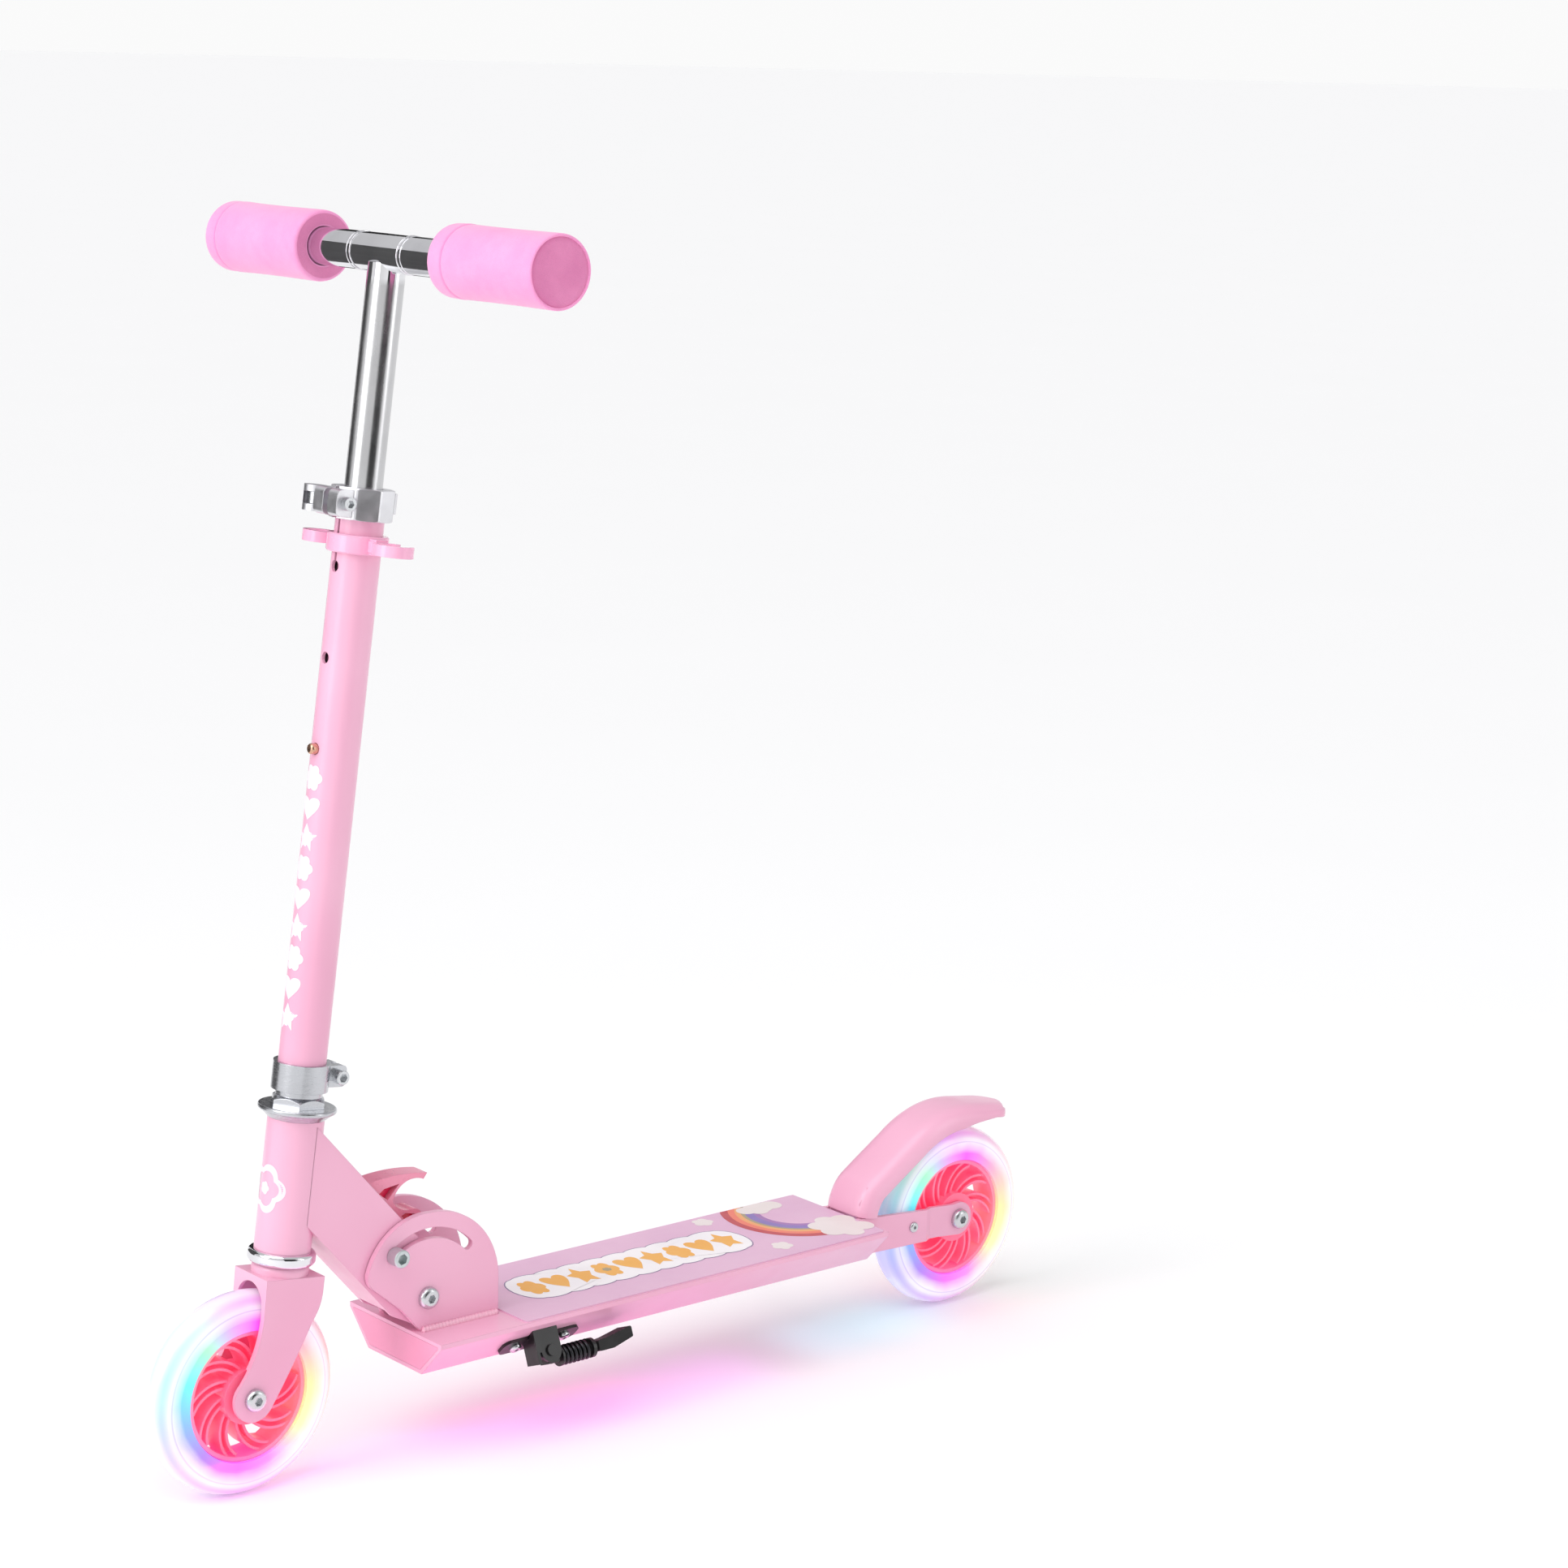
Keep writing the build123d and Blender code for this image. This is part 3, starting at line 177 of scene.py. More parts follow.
def powder_coat(name, light, deep, rough=0.36, edge=0.0007):
    """Glossy powder coat: faint orange peel, slightly uneven colour, a few paler rubs."""
    look = Look(name, rough, Coat_Weight=0.35, Coat_Roughness=0.12, Specular_IOR_Level=0.45)
    tone = look.mix(look.clouds(9, 2), light, deep)
    rubs = look.remap(look.noise(46, 6, 0.7, (1, 3, 0.6)), 0.66, 0.74, 0, 0.22)
    paler = tuple(min(1, c * 1.12 + 0.03) for c in light[:3]) + (1,)
    look.colour(look.mix(rubs, tone, paler))
    look.rough_by(look.noise(60, 3), rough - 0.05, rough + 0.07)
    return look.bump(look.noise(900, 2), 0.12, 0.00008, edge)


def metal(name, colour, rough, spread, grain=(1, 1, 1), edge=0.0, peel=0.05, scale=240):
    """Plated or cast metal: fine grain in the finish and a little dullness here and there."""
    look = Look(name, rough, 1.0)
    dull = tuple(c * 0.86 for c in colour[:3]) + (1,)
    look.colour(look.mix(look.remap(look.noise(30, 4), 0.4, 0.7, 0, 1), colour, dull))
    look.rough_by(look.noise(scale, 4, 0.6, grain), max(0.02, rough - spread), rough + spread)
    return look.bump(look.noise(scale * 3, 3, 0.6, grain), peel, 0.00006, edge)


def two_finish_chrome(name):
    """Chrome that is mirror bright on the cross tube and satin on the column below it."""
    look = Look(name, 0.1, 1.0)
    split = look.node("SeparateXYZ")
    look.link(look.coord.outputs["Object"], split.inputs[0])
    high = look.remap(split.outputs["Z"], 0.711, 0.715, 0, 1)
    low = look.math("SUBTRACT", 1.0, high)
    cloud = look.remap(look.noise(30, 4), 0.4, 0.7, 0, 1)
    bright_tone = look.mix(cloud, (0.84, 0.84, 0.86, 1), (0.76, 0.76, 0.78, 1))
    satin_tone = look.mix(cloud, (0.60, 0.60, 0.61, 1), (0.53, 0.53, 0.54, 1))
    look.colour(look.mix(high, satin_tone, bright_tone))
    satin = look.remap(look.noise(160, 4, 0.6, (1, 1, 0.2)), NOISE_LOW, NOISE_HIGH, 0.21, 0.28)
    bright = look.remap(look.noise(160, 3), NOISE_LOW, NOISE_HIGH, 0.05, 0.08)
    blend = look.math("ADD", look.math("MULTIPLY", satin, low), look.math("MULTIPLY", bright, high))
    look.link(blend, look.shader.inputs["Roughness"])
    return look.bump(look.noise(700, 3, 0.6, (1, 1, 0.2)), 0.03, 0.00005)


def moulded(name, light, deep, rough=0.3, sub=0.0, edge=0.0004, **sockets):
    """Injection-moulded plastic: smooth, with faint flow marks and a fine skin texture."""
    look = Look(name, rough, **sockets)
    if sub:
        look.shader.inputs["Subsurface Weight"].default_value = sub
        look.shader.inputs["Subsurface Radius"].default_value = (0.004, 0.0016, 0.0018)
    look.colour(look.mix(look.clouds(22, 3, 0.5, (1, 2, 1)), light, deep))
    look.rough_by(look.noise(120, 3), rough - 0.06, rough + 0.06)
    return look.bump(look.noise(1500, 2), 0.1, 0.00005, edge)


def angle_about_axle(look, axle_x):
    """Where a point of a wheel is: the turn round the axle as a share of one, the distance from the axle
    and the distance from the middle plane."""
    split = look.node("SeparateXYZ")
    look.link(look.coord.outputs["Object"], split.inputs[0])
    x = look.math("SUBTRACT", split.outputs["X"], axle_x)
    z = look.math("SUBTRACT", split.outputs["Z"], WHEEL_Z)
    turn = look.math("ARCTAN2", z, x)
    share = look.remap(turn, -math.pi, math.pi, 0, 1)
    square = look.math("ADD", look.math("MULTIPLY", x, x), look.math("MULTIPLY", z, z))
    return share, look.math("SQRT", square), look.math("ABSOLUTE", split.outputs["Y"])


LAMP_COLOURS = (
    (0.00, srgb(245, 228, 170)),
    (0.10, srgb(250, 240, 180)),
    (0.20, srgb(242, 146, 228)),
    (0.28, srgb(226, 118, 246)),
    (0.38, srgb(170, 140, 250)),
    (0.47, srgb(140, 190, 250)),
    (0.56, srgb(120, 235, 240)),
    (0.64, srgb(175, 245, 205)),
    (0.71, srgb(215, 175, 250)),
    (0.78, srgb(240, 100, 240)),
    (0.88, srgb(250, 170, 205)),
    (1.00, srgb(245, 228, 170)),
)
SEAM_RADIUS = 0.0532  # the line between a tyre's inner wall and its tread


def lit_tyre(name, axle_x):
    """Clear polyurethane lit from inside: a white tread, with the lamps' colours on its shoulders and its
    inner wall."""
    look = Look(name, 0.14, Transmission_Weight=0.35, IOR=1.40, Coat_Weight=0.5, Coat_Roughness=0.05)
    turn, reach, off_middle = angle_about_axle(look, axle_x)
    lamps = look.ramp(turn, *LAMP_COLOURS)
    wander = look.remap(look.noise(35, 2), 0.3, 0.7, -0.0015, 0.0015)
    tread = look.remap(look.math("ADD", reach, wander), 0.0455, 0.0530, 0, 1)
    body = look.mix(tread, lamps, srgb(246, 246, 252))
    shoulder = look.remap(off_middle, 0.0050, 0.0105, 0.0, 1.0)
    outside = look.remap(reach, 0.0555, 0.0590, 0.0, 0.75)
    tinted = look.mix(look.math("MULTIPLY", shoulder, outside), body, lamps)
    rings = look.math("ABSOLUTE", look.math("SUBTRACT", reach, SEAM_RADIUS))
    line = look.remap(rings, 0.0, 0.0007, 0.55, 0.0)
    tone = look.mix(line, tinted, srgb(190, 176, 226))
    look.colour(tone)
    look.link(tone, look.shader.inputs["Emission Color"])
    look.link(look.remap(reach, 0.041, 0.058, 0.34, 0.12), look.shader.inputs["Emission Strength"])
    look.rough_by(look.noise(70, 4), 0.10, 0.20)
    return look.bump(look.noise(220, 2), 0.05, 0.0001)


def lit_hub(name, axle_x):
    """Coral plastic that glows pink, and near its rim in the colours of the lamps behind it."""
    look = Look(name, 0.34, Coat_Weight=0.25, Coat_Roughness=0.15)
    look.shader.inputs["Subsurface Weight"].default_value = 0.25
    look.shader.inputs["Subsurface Radius"].default_value = (0.006, 0.0015, 0.002)
    turn, reach, _ = angle_about_axle(look, axle_x)
    look.colour(look.mix(look.clouds(30, 3), srgb(255, 134, 166), srgb(255, 112, 144)))
    near_rim = look.remap(reach, 0.033, 0.046, 0, 1)
    glow = look.mix(near_rim, srgb(255, 70, 120), look.ramp(turn, *LAMP_COLOURS))
    look.link(glow, look.shader.inputs["Emission Color"])
    look.link(look.remap(reach, 0.033, 0.046, 0.22, 0.5), look.shader.inputs["Emission Strength"])
    return look.bump(look.noise(1200, 2), 0.1, 0.00005, 0.0004)


def foam(name, light, deep):
    """Soft closed-cell foam: matt, finely pored, gently dented."""
    look = Look(name, 0.86, Sheen_Weight=0.35, Sheen_Roughness=0.45, Specular_IOR_Level=0.25)
    look.shader.inputs["Subsurface Weight"].default_value = 0.15
    look.shader.inputs["Subsurface Radius"].default_value = (0.004, 0.002, 0.003)
    mottle = look.clouds(38, 5, 0.6)
    pores = look.remap(look.cells(1500), 0.05, 0.35, 0.55, 0)
    tone = look.mix(mottle, light, deep)
    look.colour(look.mix(pores, tone, tuple(c * 0.72 for c in deep[:3]) + (1,)))
    grain = look.math("ADD", look.cells(1500), look.math("MULTIPLY", look.noise(420, 4), 0.8))
    return look.bump(grain, 0.35, 0.00022)


def printed(name, light, deep, rough=0.5):
    """A printed, satin-laminated sheet with a fine grip texture."""
    look = Look(name, rough, Coat_Weight=0.15, Coat_Roughness=0.35)
    look.colour(look.mix(look.clouds(14, 3), light, deep))
    look.rough_by(look.noise(90, 3), rough - 0.06, rough + 0.08)
    return look.bump(look.cells(1100), 0.22, 0.00012)


PINK = powder_coat("powder_pink", srgb(240, 180, 206), srgb(235, 170, 198))
CAP_PINK = powder_coat("powder_deep_pink", srgb(240, 160, 192), srgb(235, 150, 184))
BEAD_PINK = powder_coat("powder_pink_bead", srgb(248, 192, 212), srgb(244, 180, 204), 0.4, 0.0)
SHEET = printed("grip_sheet_print", srgb(228, 186, 212), srgb(222, 178, 207))
FOAM = foam("grip_foam", srgb(248, 166, 212), srgb(243, 155, 205))
# The same foam, darker: painted shade for the grips' end faces, which are turned from the light.
FOAM_SHADE = foam("grip_foam_painted_shade", srgb(230, 140, 186), srgb(220, 128, 176))
CHROME = metal("bright_chrome", (0.83, 0.83, 0.86, 1), 0.07, 0.03, peel=0.02)
TWO_CHROME = two_finish_chrome("bright_and_satin_chrome")
CAST = metal("cast_alloy", (0.82, 0.82, 0.85, 1), 0.36, 0.04, edge=0.0006, peel=0.06, scale=120)
TURNED = metal("turned_steel", (0.58, 0.59, 0.62, 1), 0.24, 0.05, (1, 1, 8), edge=0.0004, peel=0.06)
ZINC = metal("zinc_steel", (0.66, 0.68, 0.70, 1), 0.26, 0.08, edge=0.0003, peel=0.15)
DULL_STEEL = metal("plain_steel", (0.40, 0.40, 0.42, 1), 0.35, 0.08, peel=0.15)
GALVANISED = metal("galvanised_pin", (0.60, 0.66, 0.66, 1), 0.42, 0.08, edge=0.0004, peel=0.3, scale=420)
COPPER = metal("copper_button", (0.72, 0.43, 0.30, 1), 0.25, 0.06, peel=0.1)
CLIP = moulded("moulded_pink", srgb(248, 182, 212), srgb(244, 172, 205), 0.22, 0.05, Coat_Weight=0.4)
CORAL = moulded("moulded_coral_pink", srgb(244, 158, 184), srgb(238, 142, 170), 0.3, 0.1)
# Deep red laid in the latch's recesses: painted shade.
LATCH_RECESS_SHADE = moulded("latch_recess_painted_shade", srgb(234, 44, 96), srgb(222, 34, 84), 0.3, 0.1)
WHITE_PLASTIC = moulded("guide_plastic", srgb(232, 232, 230), srgb(220, 220, 218), 0.4)
BLACK_PAINT = powder_coat("powder_black", srgb(14, 14, 16), srgb(11, 11, 12), 0.46, 0.0005)
BLACK_RUBBER = moulded("black_rubber", srgb(24, 24, 25), srgb(16, 16, 17), 0.62)
BLACK_WIRE = metal("black_spring_wire", (0.05, 0.05, 0.055, 1), 0.32, 0.08, peel=0.1)
DARK_SLEEVE = moulded("dark_sleeve", srgb(52, 44, 50), srgb(40, 34, 40), 0.5)
LAMP = moulded("lamp_strip", srgb(250, 250, 255), srgb(240, 240, 250), 0.3)
FRONT_TYRE = lit_tyre("lit_front_tyre", AXLE_X)
REAR_TYRE = lit_tyre("lit_rear_tyre", -AXLE_X)
FRONT_HUB = lit_hub("lit_front_hub", AXLE_X)
REAR_HUB = lit_hub("lit_rear_hub", -AXLE_X)
WHITE_PRINT = printed("white_print", srgb(250, 244, 246), srgb(242, 236, 240))
STEM_PRINT = printed("stem_white_print", srgb(250, 232, 242), srgb(246, 224, 238), 0.4)
CLOUD_PRINT = printed("cloud_print", srgb(238, 226, 226), srgb(230, 218, 216))
EDGE_PRINT = printed("plate_edge_print", srgb(150, 128, 162), srgb(136, 116, 150))
ORANGE_PRINT = printed("orange_print", srgb(244, 182, 92), srgb(238, 172, 82))
BANDS = (
    printed("rainbow_red", srgb(200, 84, 92), srgb(192, 74, 84)),
    printed("rainbow_orange", srgb(240, 134, 112), srgb(236, 124, 104)),
    printed("rainbow_yellow", srgb(240, 174, 116), srgb(234, 164, 108)),
    printed("rainbow_green", srgb(176, 160, 130), srgb(168, 152, 124)),
    printed("rainbow_blue", srgb(146, 124, 190), srgb(138, 116, 182)),
    printed("rainbow_violet", srgb(172, 124, 184), srgb(164, 116, 176)),
)

LOOKS = (
    (PINK, "deck_shell rear_fork fold_cheek_left fold_cheek_right head_tube neck_channel fork stem_tube"
           " fender"),
    (CAP_PINK, "deck_front_cap"),
    (SHEET, "deck_sheet"),
    (TWO_CHROME, "t_tube"),
    (CHROME, "bar_left bar_right lower_cup"),
    (TURNED, "lower_collar upper_cup locknut flange_washer"),
    (CAST, "clamp_collar clamp_lever"),
    (ZINC, "pivot_bolt front_axle_bolt rear_axle_bolt arm_screws fender_pin kickstand_screws latch_pin"
           " collar_bolt clamp_bolt front_axle_spacers"),
    (GALVANISED, "lock_pin"),
    (DULL_STEEL, "steerer_tube headset_bearings front_wheel_bearings rear_wheel_bearings height_spring"
                 " fender_spring"),
    (FRONT_TYRE, "front_tyre"),
    (REAR_TYRE, "rear_tyre"),
    (FRONT_HUB, "front_hub"),
    (REAR_HUB, "rear_hub"),
    (CLIP, "clip_holder"),
    (CORAL, "latch_lever"),
    (LAMP, "front_led_ring rear_led_ring"),
    (DARK_SLEEVE, "front_magnet_core rear_magnet_core"),
    (WHITE_PLASTIC, "stem_shim t_tube_bush"),
    (COPPER, "height_button bar_button_left bar_button_right"),
    (BLACK_PAINT, "kickstand_bracket kickstand_leg kickstand_pin"),
    (BLACK_RUBBER, "kickstand_foot"),
    (BLACK_WIRE, "kickstand_spring"),
)


def dress(obj, look):
    obj.data.materials.clear()
    obj.data.materials.append(look.mat)


for look, names in LOOKS:
    for name in names.split():
        dress(NODES[name], look)


# ---- new pieces ---------------------------------------------------------------------------
def piece(name, verts, faces, look, body, smooth=True):
    mesh = bpy.data.meshes.new(name)
    mesh.from_pydata([tuple(v) for v in verts], [], faces)
    work = bmesh.new()
    work.from_mesh(mesh)
    bmesh.ops.recalc_face_normals(work, faces=work.faces)
    work.to_mesh(mesh)
    work.free()
    for face in mesh.polygons:
        face.use_smooth = smooth
    obj = bpy.data.objects.new(name, mesh)
    bpy.context.scene.collection.objects.link(obj)
    dress(obj, look)
    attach(obj, body)
    return obj


def tube_faces(rings, around):
    """The quads between rings of points, and between each ring's last point and its first."""
    faces = []
    for ring in range(rings - 1):
        here, there = ring * around, (ring + 1) * around
        for step in range(around):
            nxt = (step + 1) % around
            faces.append((here + step, here + nxt, there + nxt, there + step))
    return faces


def slab_faces(count):
    """The two ends and the rim between two outlines of the same number of points."""
    return [tuple(range(count)), tuple(range(count, 2 * count))] + tube_faces(2, count)


# Foam grips, turned about the handlebar. GRIP_IN and GRIP_OUT are measured from the middle plane.
BAR = COLUMN + UP_COLUMN * 0.674
GRIP_R = 0.0211
GRIP_IN = 0.0662
GRIP_OUT = 0.1631
BAR_R = 0.0112


def grip_profile(seam):
    """(distance from the middle plane, radius), from the bore round the foam to the end, with one seam."""
    groove = 0.0010
    waist = 0.0004
    middle = (GRIP_IN + GRIP_OUT) / 2
    stations = (GRIP_IN + 0.008, GRIP_IN + 0.022, middle, GRIP_OUT - 0.022, GRIP_OUT - 0.006)
    run = [(along, GRIP_R - waist * math.sin(math.pi * (along - GRIP_IN) / (GRIP_OUT - GRIP_IN)))
           for along in stations]
    run += [(seam - 0.0016, GRIP_R + 0.0002), (seam - 0.0006, GRIP_R), (seam - 0.0002, GRIP_R - groove),
            (seam + 0.0004, GRIP_R - groove), (seam + 0.0008, GRIP_R - 0.0002),
            (seam + 0.0018, GRIP_R - 0.0001)]
    bore = [(GRIP_IN + 0.030, BAR_R), (GRIP_IN + 0.003, BAR_R), (GRIP_IN + 0.0004, BAR_R + 0.0002)]
    inner_face = [(GRIP_IN, BAR_R + 0.0009), (GRIP_IN, BAR_R + 0.0020), (GRIP_IN, GRIP_R - 0.0030),
                  (GRIP_IN, GRIP_R - 0.0018), (GRIP_IN + 0.0005, GRIP_R - 0.0007),
                  (GRIP_IN + 0.0018, GRIP_R)]
    outer_lip = [(GRIP_OUT - 0.0016, GRIP_R), (GRIP_OUT - 0.0004, GRIP_R - 0.0003),
                 (GRIP_OUT, GRIP_R - 0.0009), (GRIP_OUT - 0.0001, GRIP_R - 0.0014),
                 (GRIP_OUT - 0.0007, GRIP_R - 0.0017), (GRIP_OUT - 0.0012, GRIP_R - 0.0019)]
    return bore + inner_face + sorted(run) + outer_lip


def turned(name, rows, side, look, body, close=False):
    """A surface turned about the handlebar's axis, faintly uneven. With close, its last ring is filled."""
    around = 64
    unevenness = 0.0035
    verts = []
    for along, radius in rows:
        for step in range(around):
            a = step * math.tau / around
            ripple = 1 + unevenness * math.sin(3 * a + along * 90) * math.sin(along * 210 + side)
            spoke = AHEAD * math.cos(a) + UP_COLUMN * math.sin(a)
            verts.append(BAR + LEFT * (side * along) + spoke * radius * ripple)
    faces = tube_faces(len(rows), around)
    if close:
        verts.append(BAR + LEFT * (side * rows[-1][0]))
        last = (len(rows) - 1) * around
        for step in range(around):
            faces.append((last + step, last + (step + 1) % around, len(verts) - 1))
    return piece(name, verts, faces, look, body)


# The end discs and thin rings laid over the inner faces wear the darker foam: painted shade on the grips'
# ends.
END_DISC = [(GRIP_OUT - 0.0016, GRIP_R - 0.0014), (GRIP_OUT - 0.0009, GRIP_R - 0.0021),
            (GRIP_OUT - 0.0006, GRIP_R - 0.0050), (GRIP_OUT - 0.0006, 0.006), (GRIP_OUT - 0.0006, 0.001)]
INNER_FACE_SHADE = [(GRIP_IN - 0.0001, GRIP_R - 0.0022), (GRIP_IN - 0.0002, GRIP_R - 0.0040),
              (GRIP_IN - 0.0002, BAR_R + 0.0030), (GRIP_IN - 0.0001, BAR_R + 0.0014)]

for word, side in SIDES:
    seam = GRIP_IN + 0.0135 if side > 0 else GRIP_OUT - 0.0105
    half = "bar_half_" + word
    sleeve = turned("foam_grip_" + word, grip_profile(seam), side, FOAM, half)
    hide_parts("grip_" + word)
    soft = sleeve.modifiers.new("soft", "SUBSURF")
    soft.levels = soft.render_levels = 1
    # End disc and inner-face ring in the darker foam: painted shade.
    disc = turned("foam_grip_end_" + word, END_DISC, side, FOAM_SHADE, half, close=True)
    face = turned("foam_grip_face_shade_" + word, INNER_FACE_SHADE, side, FOAM_SHADE, half)


# Prints: thin shapes laid on the deck and wrapped on the tubes.
def polar(radius_at, steps=72):
    angles = [i * math.tau / steps for i in range(steps)]
    return [(radius_at(a) * math.cos(a), radius_at(a) * math.sin(a)) for a in angles]


def star(size, depth):
    """Five points, with the notches at a share of their reach."""
    made = []
    for i in range(10):
        r = size if i % 2 == 0 else size * depth
        made.append((r * math.sin(i * math.pi / 5), r * math.cos(i * math.pi / 5)))
    return made


def flower(size, petals):
    return polar(lambda a: size * (0.78 + 0.22 * abs(math.cos(petals * a / 2))))


def heart(size):
    made = []
    for i in range(40):
        a = i * math.tau / 40
        rise = 0.82 * math.cos(a) - 0.32 * math.cos(2 * a) - 0.12 * math.cos(3 * a)
        made.append((size * math.sin(a) ** 3, size * rise + size * 0.1))
    return made


def cloud(puffs):
    """The outline of several overlapping discs (x, y, radius) round the origin."""
    def edge(a):
        far = 0.0
        for x, y, r in puffs:
            along = x * math.cos(a) + y * math.sin(a)
            across = abs(-x * math.sin(a) + y * math.cos(a))
            if across < r:
                far = max(far, along + math.sqrt(r * r - across * across))
        return far
    return polar(edge, 120)


def on_deck(outline, centre, level, turn=0.0):
    """Points of a flat outline laid on the deck, level layers up. The outline's x runs forward."""
    c, s = math.cos(turn), math.sin(turn)
    z = DECK_TOP + 0.00006 + 0.00005 * level
    return [Vector((centre[0] + x * c - y * s, centre[1] + x * s + y * c, z)) for x, y in outline]


def print_flat(name, rims, look):
    """One thin printed piece from closed outlines of points, each filled from its own middle."""
    verts, faces = [], []
    for rim in rims:
        first = len(verts)
        middle = sum(rim, Vector()) / len(rim)
        verts += rim + [middle]
        count = len(rim)
        faces += [(first + i, first + (i + 1) % count, first + count) for i in range(count)]
    return piece(name, verts, faces, look, "root", smooth=False)


def clipped(points):
    """The points, held inside the grip sheet's long edges."""
    return [Vector((p.x, max(-SHEET_EDGE, min(SHEET_EDGE, p.y)), p.z)) for p in points]


RAINBOW = (-0.165, -0.018)
ARCH_END = math.radians(104)


def rainbow_band(outer, inner):
    """One band of the arch, from the deck's right edge round to the near cloud."""
    to_edge = SHEET_EDGE + RAINBOW[1]

    def arc(r, backwards):
        start = -math.asin(min(0.985, to_edge / r))
        first, last = (ARCH_END, start) if backwards else (start, ARCH_END)
        steps = 48
        turns = [first + (last - first) * k / steps for k in range(steps + 1)]
        return [(r * math.cos(a), r * math.sin(a)) for a in turns]

    return arc(outer, False) + arc(inner, True)


def print_strip(name, outline, look):
    """A rainbow band, whose outline is an outer run followed by an inner run back."""
    rim = on_deck(outline, RAINBOW, 0)
    half = len(rim) // 2
    faces = [(i, i + 1, len(rim) - 2 - i, len(rim) - 1 - i) for i in range(half - 1)]
    return piece(name, rim, faces, look, "root", smooth=False)


BAND_RADII = (0.0512, 0.0458, 0.0412, 0.0376, 0.0350, 0.0290, 0.0250)
for i, look in enumerate(BANDS):
    print_strip("rainbow_band_%d" % (i + 1), rainbow_band(BAND_RADII[i], BAND_RADII[i + 1]), look)

far_puffs = [(0, 0, 0.0100), (0.011, 0.001, 0.0070), (-0.010, 0.001, 0.0080), (0.004, 0.006, 0.0065)]
near_puffs = [(0, 0, 0.0150), (0.011, 0.006, 0.0085), (0.012, -0.007, 0.0080), (-0.012, 0.008, 0.0085),
              (-0.010, -0.009, 0.0085), (0.001, 0.014, 0.0078), (0.001, -0.013, 0.0078)]
print_flat("cloud_far", [clipped(on_deck(cloud(far_puffs), (-0.150, -0.0395), 1))], CLOUD_PRINT)
print_flat("cloud_near", [clipped(on_deck(cloud(near_puffs), (-0.170, 0.0215), 1))], CLOUD_PRINT)
print_flat("little_flowers", [on_deck(flower(0.0075, 5), (-0.100, -0.037), 0, 0.4),
                              on_deck(flower(0.0075, 5), (-0.112, 0.030), 0, 0.1)], CLOUD_PRINT)

PLATE = (-0.0100, 0.0)
PLATE_LONG = 0.0935
PLATE_WIDE = 0.0195
PLATE_END = 0.012  # how far the round end stands out past the straight side
SCALLOP = 0.0022


def plate_edge(grow):
    """A long name plate with scalloped sides and round ends, grown outwards by a little or nothing."""
    made = []
    lobes = 9
    for side in (1, -1):
        for k in range(lobes * 8 + 1):
            t = k / (lobes * 8)
            x = (PLATE_LONG - PLATE_END) * (2 * t - 1) * side
            bulge = abs(math.sin(lobes * math.pi * t)) ** 0.7 * SCALLOP
            made.append((-x, side * (PLATE_WIDE + bulge + grow)))
        for k in range(1, 12):
            a = k * math.pi / 12
            x = (PLATE_LONG - PLATE_END) + (PLATE_END + grow) * math.sin(a)
            made.append((-x * side, side * (PLATE_WIDE + grow) * math.cos(a)))
    return made


print_flat("plate_shadow", [on_deck(plate_edge(0.0009), PLATE, 0)], EDGE_PRINT)
print_flat("plate_white", [on_deck(plate_edge(0.0), PLATE, 1)], WHITE_PRINT)

# Nine badges on the plate, and nine marks up the stem: star, heart, flower, and again.
MARK_COUNT = 9
BADGE_STEP = 0.0196
BADGE_SQUEEZE = 0.64
shapes = (star(0.0152, 0.56), heart(0.0140), flower(0.0134, 6))
badges = []
for i in range(MARK_COUNT):
    shape = [(x * BADGE_SQUEEZE, y) for x, y in shapes[i % 3]]
    badges.append(on_deck(shape, (PLATE[0] + BADGE_STEP * (i - 4), PLATE[1]), 2, math.pi))
print_flat("plate_badges", badges, ORANGE_PRINT)
middle = on_deck(flower(0.0032, 6), (PLATE[0] + BADGE_STEP, PLATE[1]), 3)
print_flat("plate_badge_middle", [middle], BANDS[3])


PRINT_LIFT = 0.00012


def on_tube(outline, middle, radius):
    """Points of an outline wrapped on the front of a tube round the steering axis. Its x runs round the
    tube, its y up it, and middle is the height up the column."""
    made = []
    for x, y in outline:
        a = x / radius
        place = COLUMN + UP_COLUMN * (middle + y)
        made.append(place + (AHEAD * math.cos(a) + LEFT * math.sin(a)) * (radius + PRINT_LIFT))
    return made


def print_wrapped(name, shapes, radius, look, body):
    """Each shape is a list of (outline, height up the column). Rings of points keep it on the curve."""
    verts, faces = [], []
    for outline, middle in shapes:
        rings = 6
        first = len(verts)
        count = len(outline)
        for ring in range(rings):
            share = 1 - ring / rings
            verts += on_tube([(x * share, y * share) for x, y in outline], middle, radius)
        verts += on_tube([(0, 0)], middle, radius)
        faces += [tuple(first + corner for corner in face) for face in tube_faces(rings, count)]
        last = first + (rings - 1) * count
        faces += [(last + i, last + (i + 1) % count, last + count) for i in range(count)]
    return piece(name, verts, faces, look, body)


STEM_R = 0.0143
HEAD_R = 0.0170
LOWEST_MARK = 0.2265
MARK_STEP = 0.0178
FLOWER_HEIGHT = 0.1240
shapes = (star(0.0088, 0.55), heart(0.0080), flower(0.0080, 6))
marks = [(shapes[i % 3], LOWEST_MARK + MARK_STEP * i) for i in range(MARK_COUNT)]
print_wrapped("stem_marks", marks, STEM_R, STEM_PRINT, "steering")

ring = on_tube(flower(0.0150, 5), FLOWER_HEIGHT, HEAD_R) + on_tube(flower(0.0108, 5), FLOWER_HEIGHT, HEAD_R)
piece("head_flower_ring", ring, tube_faces(2, len(ring) // 2), STEM_PRINT, "neck")
middle = [(flower(0.0040, 5), FLOWER_HEIGHT)]
print_wrapped("head_flower_middle", middle, HEAD_R, STEM_PRINT, "neck")


